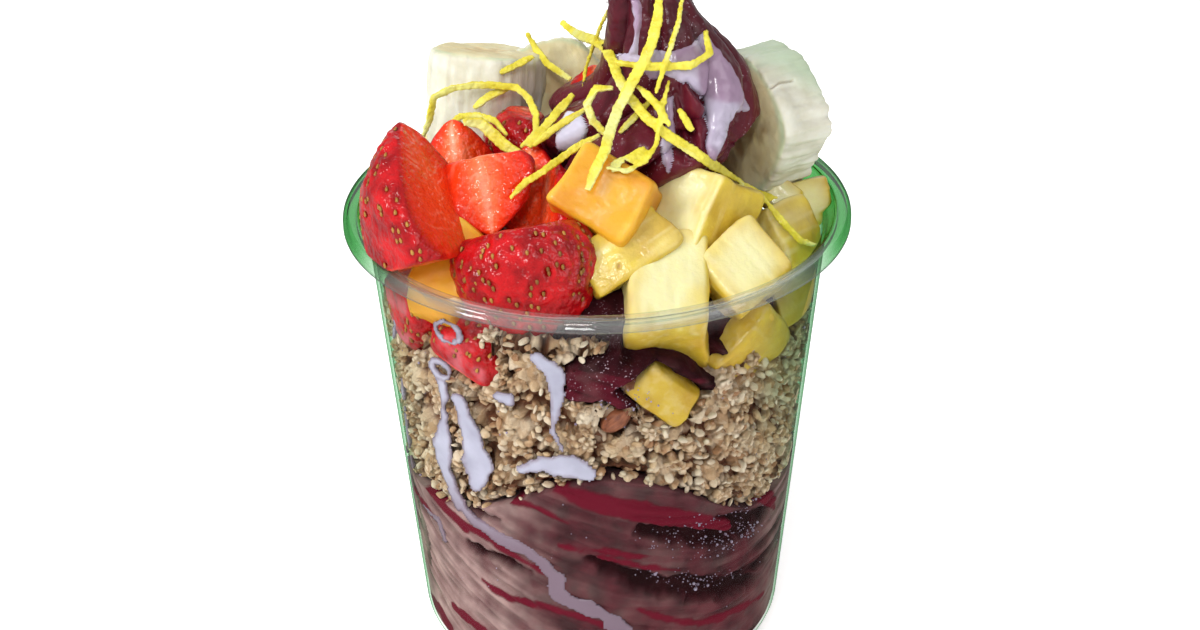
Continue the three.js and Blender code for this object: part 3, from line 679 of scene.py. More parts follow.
def chunk(size, seed):
    """Six sides of a hand-cut cube, skewed and rippled as the frame's cube of that seed."""
    draw = random_from(seed)
    skew = [mix(-0.12, 0.12, draw()) for _ in range(4)]
    ripple = [draw() * TAU for _ in range(3)]
    half = np.array(size) / 2

    def sides(own):
        x, y, z = (own / half).T
        z = z - 0.04 * np.sin(3 * x + ripple[2])
        y = y - 0.04 * np.sin(3 * z + ripple[1])
        x = x - 0.04 * np.sin(3 * y + ripple[0])
        z = z - skew[3] * x
        y = y / (1 + skew[1] * z)
        x = x / (1 + skew[0] * z + skew[2] * y)
        return [(np.abs(v) - 1) * h for v, h in zip((x, y, z), half)]
    return {"sides": sides, "soft": 0.6, "half": half}


def slice_of(diameter, thickness):
    """The side and the two faces of a thick slice of banana along its own Z."""
    def sides(own):
        angle = round_axis(own)
        radius = diameter / 2 * (1 + 0.03 * np.cos(5 * angle))
        return [off_axis(own) - radius, np.abs(own[:, 2]) - thickness / 2]
    return {"sides": sides, "soft": 0.7, "radius": diameter / 2}


def drop(length, width, thickness):
    """An almond piece: a pointed drop, flattened."""
    def sides(own):
        share = np.clip(own[:, 2] / length + 0.5, 0.004, 0.996)
        swell = np.sin(math.pi * share**0.8) ** 0.7
        across = np.hypot(own[:, 0] / (width / 2), own[:, 1] / (thickness / 2))
        return [(across - swell) * thickness / 2, np.abs(own[:, 2]) - length / 2]
    return {"sides": sides, "soft": 0.3}


# Each piece on its node's middle and turned as its node is: its shape, that middle, and the lean,
# compass and spin that it faces with. The shapes are the frame's, but strawberry_left has a cut of
# its own, and pineapple_front, pineapple_right_low and pineapple_slab are a little fuller.
FRUIT = {
    "strawberry_left": (berry(36, 30, (0, 14, 5.5)), (-39, -24, 122.5), (30, 115, 215)),
    "strawberry_front": (berry(36, 33, (0, -10, 3)), (-14, -33, 105), (150, 290, 20)),
    "pineapple_ridge": (chunk((17, 17, 17.5), 21), (23.5, -20.5, 117), (35, 50, 170)),
    "mango_middle": (chunk((19, 17, 16), 22), (2.5, -24, 122), (50, 255, 65)),
    "pineapple_front": (chunk((26, 19, 20), 23), (14.5, -34, 104), (40, 275, 175)),
    "pineapple_bar": (chunk((23, 11.5, 12), 24), (6, -31, 113), (50, 270, 125)),
    "strawberry_wedge": (
        berry(20, 23, (0, 5, 1), (60, -15, 6)), (-24.5, -22, 124), (150, 290, 190)),
    "pineapple_right_low": (chunk((17, 17, 19), 25), (29.5, -28.5, 91.5), (50, 30, 200)),
    "pineapple_right_high": (chunk((16, 16, 14), 26), (31.5, -30, 107.5), (45, 280, 35)),
    "banana_right": (slice_of(34, 15), (37, 12, 125.5), (85, 220, 30)),
    "mango_left": (chunk((23, 15, 12), 27), (-32.5, -28.5, 107), (50, 260, 340)),
    "strawberry_thin": (
        berry(27, 18, (0, 25, 2.5), (185, -15, 3)), (-9, -19, 118), (35, 125, 85)),
    "strawberry_shaded": (berry(24, 17, (0, 15, 2)), (-14, -12, 119), (30, 105, 145)),
    "strawberry_back_left": (
        berry(19, 20, (0, 10, 1), (65, 0, 2)), (-31.5, -6, 124.5), (30, 110, 135)),
    "pineapple_right_edge": (chunk((14, 13, 15), 28), (41.5, -11.5, 106), (40, 135, 95)),
    "strawberry_wall_left": (berry(26, 18), (-39.5, -22, 93.5), (165, 30, 0)),
    "strawberry_wall_front": (berry(26, 22), (-24.5, -32.5, 94.5), (35, 25, 215)),
    "pineapple_slab": (chunk((17.5, 10, 8), 29), (13.5, -43.5, 86), (95, 285, 45)),
    "pineapple_wall_right": (chunk((14, 12, 10), 30), (43.5, -16, 95), (65, 300, 100)),
    "pineapple_back_right": (chunk((13, 11, 11), 31), (48, 4.5, 106.5), (55, 275, 100)),
    "pineapple_bit": (chunk((9, 8, 9), 32), (42.5, 2, 110), (60, 270, 55)),
    "mango_bit": (chunk((11, 10, 11), 33), (26, -25, 105), (60, 270, 80)),
    "banana_back_left": (slice_of(27, 25), (-26.5, 22, 126), (15, 70, 290)),
    "banana_back_middle": (slice_of(27, 16), (-10.5, 29, 123.5), (50, 290, 75)),
    "banana_back_right": (slice_of(26, 15), (5.5, 36, 121), (35, 280, 80)),
    "strawberry_peep_left": (berry(18, 16, (0, 70, 5)), (-17, 5, 126), (30, 70, 205)),
    "strawberry_peep_middle": (berry(18, 14, (0, 20, 3)), (-1.5, 9, 131.5), (30, 70, 205)),
    "pineapple_far_left": (chunk((16, 15, 14), 34), (-41, 18, 110), (45, 135, 260)),
    "mango_far": (chunk((17, 15, 15), 35), (-22, 42, 108), (40, 110, 270)),
    "strawberry_far": (berry(28, 23, (0, 15, 1)), (-1, 41, 106), (80, 5, 150)),
    "pineapple_far_right": (chunk((17, 16, 14), 36), (19, 38, 107.5), (35, 60, 265)),
    "mango_far_right": (chunk((15, 14, 15), 37), (37, 28, 107), (40, 40, 270)),
    "almond": (drop(9.5, 6.6, 5), (4, -46, 80.5), (50, 5, 265)),
}

# How finely a piece is made: the large ones in front finest, what is small or stands behind
# coarsest.
FINE = 7
PLAIN = 6
COARSE = 5
FINE_PIECES = ("strawberry_left", "strawberry_front", "banana_right")
COARSE_WORDS = ("far", "almond", "bit", "peep")

INTO_WALL = 0.2
FRUIT_INTO_WALL = 0.3
PIECE_REACH = 45.0
CARVE_STEPS = 17


def room(z):
    """The radius that food may reach: pressed on the wall, then out over the rim."""
    over = smooth(LID_SEAT_Z, LID_SEAT_Z + 2, z) * LID_SEAT_STEP
    lifted = smooth(CUP_HEIGHT + 0.2, CUP_HEIGHT + 0.8, z) * 3
    return inner_wall(np.minimum(z, LID_SEAT_Z)) + FRUIT_INTO_WALL + over + lifted


def carved(middle, directions, sides, soft):
    """Points where rays from the middle leave a rounded shape, or meet the cup's wall."""
    near = np.zeros(len(directions))
    far = np.full(len(directions), PIECE_REACH)
    for _ in range(CARVE_STEPS):
        reach = (near + far) / 2
        points = middle + directions * reach[:, None]
        wall = off_axis(points) - room(points[:, 2])
        outside = softest([*sides(points), wall], soft) > 0
        far = np.where(outside, reach, far)
        near = np.where(outside, near, reach)
    return middle + directions * near[:, None]


SEED_SPACING = 3.3
SEED_TURN = math.radians(137.5)
SEED_HALF_SIZE = (0.38, 0.66, 0.3)
SEED_SUNK = 0.2
PIT_RADIUS = 0.72
PIT_DEPTH = 0.5
SEEDS = []


def seed_spots(shape, turn, at):
    """Places of a strawberry's seeds on its skin, wound round it evenly."""
    length, width = shape["length"], shape["width"]
    steps = np.linspace(0.05, 0.97, 60)
    skin_so_far = np.cumsum(berry_radius(steps, 0, width)) * TAU * length * (steps[1] - steps[0])
    count = int(skin_so_far[-1] / SEED_SPACING**2)
    share = np.interp((np.arange(count) + 0.5) / count * skin_so_far[-1], skin_so_far, steps)
    jitter = noise(np.arange(count)[:, None] * [1.7, 0, 0], 1)
    share = share + 0.02 * jitter
    angle = np.arange(count) * SEED_TURN + 0.55 * jitter[::-1]
    radius = berry_radius(share, angle, width)
    height = (share - 0.5) * length
    own = np.stack([radius * np.cos(angle), radius * np.sin(angle), height], axis=1)
    cuts = np.max(shape["sides"](own)[1:], axis=0)
    spots = own @ turn.T + at
    held = off_axis(spots) < room(spots[:, 2]) + 2.5
    return own[(cuts < -0.9) & held]


def add_seed(spot, out, along):
    """One drop-shaped seed that lies along the berry."""
    points, _ = ball(2)
    side = np.cross(along, out)
    side = side / np.linalg.norm(side)
    along = np.cross(out, side)
    taper = 1 - 0.35 * points[:, 1:2]
    placed = points * SEED_HALF_SIZE * np.hstack([taper, np.ones_like(taper), taper])
    SEEDS.append(spot + placed @ np.stack([side, along, out]))


def cut_face(shape, own, cut):
    """How far out from its pale core a berry's cut face runs, its streaks, and its fine relief."""
    radius = berry_radius(own[:, 2] / shape["length"] + 0.5, round_axis(own), shape["width"])
    out = off_axis(own)
    nearest = out[cut > 0.5].min() if (cut > 0.5).any() else 0
    core = np.clip((out - nearest) / np.maximum(radius - nearest, 0.5), 0, 1)
    bent = own + 0.9 * np.stack([noise(own, 2.6, k) for k in (4, 5, 6)], axis=1)
    spread = off_axis(bent)
    wave = np.stack([bent[:, 2] - 0.9 * spread, spread * 0.16, 3 * np.tanh(own[:, 1])], axis=1)
    streak = smooth(0.1, 0.9, noise(wave, 0.8, 3)) * cut * smooth(0.95, 0.3, core) * 0.36
    return core, streak, 0.1 * cut * noise(bent, 1.7, 3)


def finish_berry(shape, own, points, normals, values, turn, at):
    """Pits with a seed in each on the skin, painted shade in the pits, and marks for the cut faces."""
    cut = smooth(-0.7, -0.25, np.max(values[2:], axis=0))
    core, streak, relief = cut_face(shape, own, cut)
    crumple = 0.24 * rough(points, 2.8, 3, 5) * (1 - cut)
    lift = 0.22 * noise(points, 4.5, 1) + crumple + relief
    pit_shade = np.zeros(len(points))
    for spot in seed_spots(shape, turn, at):
        closest = np.argmin(((own - spot) ** 2).sum(axis=1))
        away = own - own[closest]
        near = np.abs(away).max(axis=1) < 3
        flat = away[near]
        distance = np.hypot(flat[:, 2] / 1.25, off_axis(flat))
        dent = np.exp(-((distance / PIT_RADIUS) ** 2))
        swell = 0.12 * np.exp(-(((distance - 1.7) / 0.6) ** 2))
        lift[near] -= (PIT_DEPTH * dent - swell) * (1 - cut[near])
        # Painted shade, strongest where the pit dents deepest.
        pit_shade[near] = np.maximum(pit_shade[near], 0.7 * dent)
        out = normals[closest]
        add_seed(points[closest] - SEED_SUNK * out, out, turn[:, 2])
    pressed = smooth(0.7, 0.1, room(points[:, 2]) - off_axis(points))
    patches = smooth(-0.4, 0.5, rough(points, 5, 3, 7))
    milky = 0.45 * pressed * patches * smooth(103, 99, points[:, 2])
    return lift, {"cut": cut, "core": core, "streak": streak, "pit_shade": pit_shade, "milky": milky}


# The two brown eyes on the bar: pixels, and their half width and height.
EYES = ((628, 231, 4.5, 3.5), (619, 266, 2, 3))

# Faces turned toward the key lamp, which painted light makes pale, and how pale it makes the pieces.
LIT_SIDE = np.array([-0.45, -0.3, 0.84])
LIT_PALENESS = 0.95
# Pieces that get less of the painted light.
LESS_LIT = {"pineapple_bar": 0.2, "pineapple_right_low": 0.25, "pineapple_slab": 0.4}


def finish_pineapple(shape, own, points, normals, name):
    """Fibres along the piece, painted light that makes the faces turned up toward the key lamp pale,
    and a few brown eyes.
    """
    stretch = [1, 1, 0.1] if name in ("pineapple_ridge", "pineapple_slab") else [0.1, 1, 1]
    fibre = noise(own * stretch, 1.5, 2) + 0.5 * noise(own * stretch, 0.7, 3)
    lumps = rough(own, 7.0, 2, 4)
    second = np.sort(np.abs(own) / shape["half"], axis=1)[:, 1]
    middle = smooth(1.0, 0.4, second + 0.25 * noise(own, 5, 6))
    # Painted light: faces turned up and to the left, toward the key lamp, are painted pale, most in
    # their middles.
    lit_face = smooth(0.3, 0.8, normals @ LIT_SIDE)
    most_lit_pale = LESS_LIT.get(name, LIT_PALENESS)
    lit_pale = mix(0.08, most_lit_pale, lit_face) * mix(0.45, 1.0, middle)
    eye = np.zeros(len(own))
    if name == "pineapple_bar":
        eye = 0.8 * np.max([spot_mark(pixels_of(points), *place) for place in EYES], axis=0)
    lift = 0.07 * fibre + 0.45 * lumps - 0.3 * eye
    # Painted shade: darker, deeper yellow below the rim, where pieces sit behind the cup's wall.
    shade_below_rim = 0.45 * smooth(105, 97, points[:, 2])
    return lift, {"lit_pale": lit_pale, "eye": eye, "fibre": 0.22 * smooth(0.0, 1.0, fibre), "shade_below_rim": shade_below_rim}


def finish_mango(shape, own):
    # The edge mark paints light glowing through the thin edges.
    edge = smooth(0.8, 1.0, np.sort(np.abs(own) / shape["half"], axis=1)[:, 1])
    lift = 0.25 * rough(own, 6.0, 2, 8) + 0.06 * noise(own * [1, 1, 0.2], 1.5, 9)
    return lift, {"edge": edge}


# On the right banana: the crack across its side, and soft brown spots as pixels, half width,
# half height and strength. The spots are partly real bruises and partly painted shade near the
# foot of the peak.
CRACK = ((764, 91), (773, 87), (779, 83), (792, 81))
BRUISE_AND_SHADE_SPOTS = (
    (763, 131, 7, 9, 0.75), (744, 67, 4, 5, 0.5), (757, 160, 5, 9, 0.5), (770, 176, 6, 8, 0.4))
CRACK_WIDTH = 1.6


def finish_banana(shape, own, points, values, name):
    """Smooth cut faces round a three-part core, and a stringy side with painted shade in its grooves.
    """
    in_front = name == "banana_right"
    side = smooth(-1.1, -0.3, values[0])
    angle = round_axis(own)
    radius = off_axis(own) / shape["radius"]
    core = smooth(0.3, 0.12, np.abs(radius - 0.22 * np.cos(3 * angle) ** 2)) * (1 - side) * 0.55
    round_side = np.stack([np.cos(angle), np.sin(angle), own[:, 2] * 0.008], axis=1) * 15
    strings = noise(round_side, 1.5, 5) + 0.6 * noise(round_side, 0.8, 6)
    # Painted green reflection round the rim of the cut faces.
    rim = smooth(0.84, 0.98, radius) * (1 - side) * 0.8
    bruise_and_shade, crack = np.zeros((2, len(own)))
    if in_front:
        spots = pixels_of(points)
        mottled = 0.6 + 0.4 * rough(points, 2.0, 2, 2)
        for *place, amount in BRUISE_AND_SHADE_SPOTS:
            bruise_and_shade = np.maximum(bruise_and_shade, amount * mottled * spot_mark(spots, *place))
        crack = smooth(-1.0, 1.2, stroke_depth(spots, np.array(CRACK, dtype=float), CRACK_WIDTH))
        # Painted reflection: more of the green along the top edge of the right slice.
        top = smooth(8, 16, (points - points.mean(axis=0)) @ (UP + 0.5 * RIGHT)) * side
        rim = np.maximum(rim, 0.75 * top)
    # Painted shade: the side is darker where its strings sink into grooves.
    string_shade = side * smooth(-0.1, -0.9, strings) * (0.4 if in_front else 0.15)
    depth = 0.55 if in_front else 0.3
    lift = side * (depth * strings - 1.2 * crack) + 0.35 * rough(own, 7.0, 3, 7) - 0.3 * core
    # Painted shade in the crack.
    bruise_and_shade = np.maximum(bruise_and_shade, 0.4 * crack * side)
    return lift, {"core": core, "side": side, "rim": rim, "bruise_and_shade": bruise_and_shade, "string_shade": string_shade}


def detail_of(name):
    if any(word in name for word in COARSE_WORDS):
        return COARSE
    return FINE if name in FINE_PIECES else PLAIN


def finished(kind, shape, own, points, normals, values, turn, at, name):
    """How far a piece's skin rises, and its marks, by its kind."""
    if kind == "strawberry":
        return finish_berry(shape, own, points, normals, values, turn, at)
    if kind == "pineapple":
        return finish_pineapple(shape, own, points, normals, name)
    if kind == "mango":
        return finish_mango(shape, own)
    if kind == "banana":
        return finish_banana(shape, own, points, values, name)
    return 0.1 * rough(own, 1.5, 2), {}


def make_fruit():
    """The pieces of fruit and the almond, and then all the strawberries' seeds in one piece."""
    looks = {
        "strawberry": strawberry_look(), "mango": mango_look(), "pineapple": pineapple_look(),
        "banana": banana_look(), "almond": almond_look(),
    }
    for name, (shape, at, facing) in FRUIT.items():
        kind = name.split("_")[0]
        turn = turned(*facing)
        directions, faces = ball(detail_of(name))
        points = carved(
            middle_of(name), directions, lambda p: shape["sides"]((p - at) @ turn), shape["soft"])
        own = (points - at) @ turn
        values = shape["sides"](own)
        normals = normals_of(points, [faces])
        lift, marks = finished(kind, shape, own, points, normals, values, turn, at, name)
        held = smooth(0.1, 1.5, room(points[:, 2]) - off_axis(points))
        points = points + normals * np.where(lift > 0, lift * held, lift)[:, None]
        marks["own"] = own
        add_piece(name + "_piece", points, [faces], marks, looks[kind], [name])
    faces = faces_of_copies(ball(2)[1], len(SEEDS))
    add_piece("strawberry_seeds", np.concatenate(SEEDS), [faces], {}, seed_look())


# ---------------------------------------------------------------- puree and granola

def base_top(angle, radius):
    """Height of the lower puree's top, as the frame has it."""
    wall = (47 + 19 * bump(angle, 270, 50) + 8 * bump(angle, 90, 60)
            + 1.2 * np.sin(np.radians(5 * angle + 40)))
    return mix(62, wall, smooth(5, 44, radius))


def granola_top(angle, radius):
    wall = (90 + 10 * bump(angle, 248, 24) - 8 * bump(angle, 286, 28) - 4 * bump(angle, 328, 30)
            + 1.5 * np.sin(np.radians(7 * angle)))
    return mix(77, wall, smooth(33, 45, radius))


def bed_top(angle, radius):
    slope = mix(112, 97 + 8 * bump(angle, 275, 50), smooth(14, 46, radius))
    return np.maximum(slope, granola_top(angle, radius) + 1.6)


FOLD_GROOVE = 2.2
FAR_OUTSIDE = -99.0


def stroke_depth(spots, path, widths):
    """How far inside a stroke drawn on the wall points lie, in millimetres; negative outside."""
    widths = np.broadcast_to(np.asarray(widths, dtype=float), (len(path),)) / 2
    best = np.full(len(spots), FAR_OUTSIDE)
    for k in range(len(path) - 1):
        start, step = path[k], path[k + 1] - path[k]
        t = np.clip(((spots - start) @ step) / max(step @ step, 1e-9), 0, 1)
        away = np.linalg.norm(spots - start - t[:, None] * step, axis=1)
        best = np.maximum(best, mix(widths[k], widths[k + 1], t) - away)
    return best


# Bands seen through the wall, by pixels of the photograph along their middles, with the width in
# millimetres at each. Bright maroon folds press on the wall, deep folds stand off it and are painted
# dark as painted shade, and bubbles lie thick in the last bands.
MAROON_BANDS = (
    (((420, 476), (442, 503), (464, 524), (484, 535), (516, 556), (545, 572)),
     (1.5, 3, 2.6, 2, 1.5, 0.8)),
    (((415, 488), (428, 508), (439, 523)), (1, 2.2, 0.8)),
    (((484, 488), (512, 500), (540, 509), (568, 524)), (0.8, 1.6, 1.8, 0.8)),
    (((545, 482), (590, 500), (640, 512), (690, 520), (728, 526)), (1.5, 5, 6, 5, 2.5)),
    (((702, 487), (735, 478), (758, 487), (776, 508)), (2.5, 5.5, 6, 2)),
    (((484, 580), (509, 597), (540, 606), (575, 614), (620, 629)), (1.2, 2.4, 2.4, 2, 1.5)),
    (((431, 591), (440, 608), (450, 626)), (3.5, 4, 4)),
    (((455, 606), (467, 617), (484, 630)), (2, 3, 3)),
    (((600, 556), (640, 566), (680, 570)), (0.8, 1.6, 0.8)),
    (((636, 608), (664, 618), (699, 622), (734, 610), (762, 593)), (0.6, 1.5, 1.8, 1.8, 0.8)),
    (((560, 545), (610, 552), (650, 556)), (1, 2, 0.8)),
)
DEEP_SHADE_BANDS = (
    (((640, 528), (690, 534), (735, 528), (765, 512)), (3, 7, 8, 4)),
    (((590, 560), (640, 580), (700, 590), (750, 580)), (2, 5, 7, 4)),
    (((470, 545), (500, 560), (530, 572)), (1.5, 2.5, 1)),
    (((452, 500), (475, 512), (500, 520)), (0.6, 1.2, 0.8)),
    (((418, 500), (426, 530), (430, 560)), (1.5, 2, 1)),
)
BUBBLE_BANDS = (
    (((636, 530), (670, 528), (700, 522), (735, 512), (764, 500)), (1, 4, 5, 5, 2)),
    (((640, 545), (680, 552), (730, 538), (766, 524)), (3, 7, 8, 3)),
    (((640, 572), (690, 582), (740, 572)), (2, 6, 3)),
    (((606, 378), (618, 384), (632, 392)), (4, 6, 4)),
    (((590, 398), (640, 404)), (1, 1.5)),
)

# How far round the wall from the front the photograph shows, in millimetres.
BAND_FRONT = 62


def band_mark(spots, bands, ragged, edge):
    """1 inside any of the bands, with an edge that is ragged and so many millimetres soft."""
    best = np.full(len(spots), FAR_OUTSIDE)
    for pixels, widths in bands:
        best = np.maximum(best, stroke_depth(spots, on_wall(pixels), widths))
    return smooth(-edge, edge, best + ragged)


def wall_spots(points):
    """Millimetres round the wall from the front, and height."""
    return np.stack([from_front(points) * inner_wall(points[:, 2]), points[:, 2]], axis=1)


def laid_flat(spots):
    """Places on the wall as points of a plane, for noise."""
    return np.concatenate([spots, np.zeros((len(spots), 1))], axis=1)


FOLD_SWING = 22.0
FOLD_START = math.radians(35)


def streaks(points, size, seed):
    """Noise drawn out along the folds, which run down to the right across the front."""
    level = points[:, 2] + FOLD_SWING * np.sin(from_front(points) + FOLD_START)
    along = points * [0.1, 0.1, 0]
    return rough(along + level[:, None] * [0, 0, 1], size, 3, seed)


BASE_FLOOR = FOOT_RECESS + WALL + 0.1


def base_marks(points):
    """Where the puree is maroon, where painted shade darkens it, where the wall hazes it, and its fine
    streaks.
    """
    spots = wall_spots(points)
    front = smooth(BAND_FRONT + 12, BAND_FRONT - 4, np.abs(spots[:, 0]))
    ragged = 0.5 * rough(points, 3.0, 3, 2)
    flow = streaks(points, 5.5, 4)
    fine = streaks(points, 1.6, 7)
    maroon = band_mark(spots, MAROON_BANDS, ragged + 0.5 * fine, 0.35)
    stray = smooth(0.5, 0.6, flow + 0.12 * fine) * (1 - 0.8 * front)
    maroon = np.maximum(maroon, 0.8 * stray)
    # Painted shade where folds stand off the wall.
    deep_shade = band_mark(spots, DEEP_SHADE_BANDS, 2 * ragged, 1.2)
    deep_shade = np.maximum(deep_shade, 0.8 * smooth(-0.6, -0.9, flow)) * (1 - maroon)
    sides = smooth(-6, -34, spots[:, 0]) + 0.8 * smooth(40, 60, spots[:, 0])
    patchy = smooth(-0.5, 0.6, 0.5 * rough(points, 9, 3, 5) + 0.5 * flow + 0.5 * fine)
    haze = mix(0.16, 1.0, np.clip(mix(0.35, sides, front), 0, 1)) * mix(0.45, 1.0, patchy)
    return maroon, deep_shade, haze * (1 - 0.9 * maroon) * (1 - deep_shade), fine


def make_base(material):
    """The lower puree: folds that press on the wall, with grooves between them."""
    columns, rows = ((640, 130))
    angles, degrees = round_angles(columns)
    floor = np.full(columns, BASE_FLOOR)
    rings = [round_points(angles, radius, floor) for radius in (12, 24, 34, 37.5)]
    for share in np.linspace(0, 1, rows):
        height = mix(BASE_FLOOR + 0.1, base_top(degrees, 44), share)
        rings.append(round_points(angles, inner_wall(height) + INTO_WALL, height))
    for radius in (44, 40, 34, 26, 16, 6):
        rings.append(round_points(angles, radius, base_top(degrees, radius)))
    points, faces = capped(rings)
    maroon, deep_shade, haze, fine = base_marks(points)
    radius = off_axis(points)
    side = smooth(BASE_FLOOR + 0.05, BASE_FLOOR + 2, points[:, 2])
    side = side * smooth(2.0, 0.5, inner_wall(points[:, 2]) - radius)
    groove = side * (FOLD_GROOVE * deep_shade + 0.5 * smooth(-0.1, -0.6, fine) * (1 - deep_shade))
    points = drawn_in(points, (radius - groove) / np.maximum(radius, 1))
    marks = {"maroon": maroon * 0.9, "deep_shade": deep_shade * 0.85, "haze": haze}
    add_piece("acai_base_fill", points, faces, marks, material, ["acai_base"])


# The peak's stations, as the frame has them: height, middle x, middle y, radius.
PEAK = np.array([
    (101, 6, 3, 22), (112, 8, 3, 20.5), (121, 9, 3, 19.5), (126, 11, 2, 22.5), (131, 12.8, 2, 24.5),
    (134.5, 14.5, 2, 22), (138, 16.5, 1, 18.4), (143, 17.2, 1, 16), (148.5, 16, 0, 13.4),
    (154, 13.8, 0, 10.8), (160, 11.6, 0, 8.5), (166, 9, 0, 6), (171, 6, 0, 3.6), (174.5, 2.6, 0, 0.3),
])
PEAK_RIDGES = 7
PEAK_TWIST = 2.2
PEAK_FOOT_Z = 100.0
PEAK_TOP_Z = 174.4
RIDGE_SHARE = 0.16


def between_stations(z, column):
    """A smooth run through the peak's stations."""
    heights = PEAK[:, 0]
    slope = np.gradient(PEAK[:, column], heights)
    k = np.clip(np.searchsorted(heights, z) - 1, 0, len(heights) - 2)
    span = heights[k + 1] - heights[k]
    t = (z - heights[k]) / span
    first, last = PEAK[k, column], PEAK[k + 1, column]
    return (first * (1 + 2 * t) * (1 - t) ** 2 + last * t * t * (3 - 2 * t)
            + span * t * (1 - t) * (slope[k] * (1 - t) - slope[k + 1] * t))


def ridge(angle, z):
    phase = PEAK_RIDGES / 2 * (angle - np.radians(PEAK_TWIST * (z - PEAK_FOOT_Z)))
    return 0.4 - 1.4 * (1 - np.abs(np.sin(phase))) ** 1.6


# Outlines of the milk on the peak, in the photograph's pixels: lilac sheets, and a white pool.
MILK_SHEETS = (
    ((612, 52), (640, 55), (651, 50), (672, 50), (692, 44), (704, 30), (715, 43), (728, 60), (741, 83),
     (747, 99), (751, 111), (738, 114), (731, 123), (726, 139), (721, 153), (715, 169), (708, 159),
     (703, 139), (699, 116), (694, 100), (686, 87), (675, 79), (664, 76), (650, 80), (640, 66),
     (612, 64)),
    ((632, 0), (640, 0), (643, 20), (638, 56), (628, 55), (632, 33)),
    ((663, 98), (673, 96), (676, 126), (675, 159), (671, 174), (666, 176), (661, 162), (659, 146),
     (663, 126)),
)
MILK_POOL = (
    (555, 124), (569, 110), (584, 114), (590, 131), (587, 143), (572, 151), (560, 153), (554, 142))


def inside_outline(spots, outline):
    """How far inside an outline pixels lie; negative outside."""
    outline = np.array(outline, dtype=float)
    distance = np.full(len(spots), np.inf)
    inside = np.zeros(len(spots), dtype=bool)
    for start, end in zip(outline, np.roll(outline, -1, axis=0)):
        step = end - start
        t = np.clip(((spots - start) @ step) / (step @ step), 0, 1)
        distance = np.minimum(distance, np.linalg.norm(spots - start - t[:, None] * step, axis=1))
        crosses = (start[1] > spots[:, 1]) != (end[1] > spots[:, 1])
        rise = step[1] if step[1] else 1e-9
        meets = start[0] + (spots[:, 1] - start[1]) / rise * step[0]
        inside ^= crosses & (spots[:, 0] < meets)
    return np.where(inside, distance, -distance)


# Bare folds that stand up out of the milk, as pixels along them and widths in pixels.
LENSES = (
    (((686, 86), (694, 106), (699, 130), (701, 150)), (5, 17, 16, 4)),
    (((676, 96), (682, 120), (686, 146), (687, 160)), (2, 7, 7, 2)),
)
MILK_THICK = 0.9
MILK_SUNK = 0.2
NO_MILK = -9.0
PIXELS_PER_MM = FOCAL_PIXELS / CAMERA_DISTANCE

# Where the peak is torn, and where it is hollow so that the banana shows: pixels, and their half
# width and height.
TORN = (735, 140, 16, 26)
HOLLOW = (760, 152, 26, 38)
HOLLOW_DEPTH = 6.0


def lens_depth(spots):
    """How far inside the bare folds pixels lie, in millimetres."""
    depths = [stroke_depth(spots, np.array(path, dtype=float), widths) for path, widths in LENSES]
    return np.max(depths, axis=0) / PIXELS_PER_MM


def milk_amount(points, normals):
    """How thick milk lies on the peak: as the outlines say in front, and in runs behind."""
    spots = pixels_of(points)
    wobble = 0.5 * rough(points, 2.5, 2, 9)
    depth = np.full(len(points), NO_MILK)
    for outline in (*MILK_SHEETS, MILK_POOL):
        depth = np.maximum(depth, inside_outline(spots, outline) / PIXELS_PER_MM)
    depth = np.minimum(depth, -lens_depth(spots))
    front = smooth(-0.05, 0.2, normals @ BACK)
    height = np.clip(points[:, 2], PEAK[0, 0], PEAK_TOP_Z)
    middle = np.stack([between_stations(height, k) for k in (1, 2)], axis=1)
    angle = round_axis(points[:, :2] - middle)
    runs = 132 - 9 * np.sin(3 * angle) - 6 * np.sin(7 * angle + 1)
    behind = (points[:, 2] - runs) * 0.4 * smooth(168, 158, points[:, 2])
    hidden = 25 * smooth(-0.6, -0.2, normals @ BACK)
    return mix(behind - hidden, depth, front) + wobble


def make_peak_milk(points, faces, normals, pool, material):
    """A film of milk over part of the peak, white in the pool and lilac elsewhere."""
    depth = milk_amount(points, normals)
    raised = points + normals * (MILK_THICK * smooth(-0.1, 0.9, depth) - MILK_SUNK)[:, None]
    shown = depth > -0.1
    kept = [group[shown[group].all(axis=1)] for group in faces]
    kept = [group for group in kept if len(group)]
    used = np.zeros(len(points), dtype=bool)
    used[np.concatenate([group.ravel() for group in kept])] = True
    index = np.cumsum(used) - 1
    lilac = mix(0.45, 1.0, smooth(0.0, 0.6, rough(points, 7, 2, 4) + 0.5)) * smooth(1.0, -1.0, pool)
    kept = [index[group] for group in kept]
    add_piece("peak_milk", raised[used], kept, {"lilac": lilac[used]}, material)


def peak_rings(columns, rows):
    """The peak's ridged outline at each height, twisting as it rises."""
    angles, _ = round_angles(columns)
    rings = []
    for z in np.linspace(PEAK[0, 0], PEAK_TOP_Z, rows):
        turn = angles + math.radians(PEAK_TWIST * (z - PEAK_FOOT_Z))
        x, y, radius = (float(between_stations(np.array([z]), k)[0]) for k in (1, 2, 3))
        out = radius * (1 + RIDGE_SHARE * ridge(turn, z))
        rings.append(round_points(turn, out, np.full(columns, z)) + [x, y, 0])
    return rings


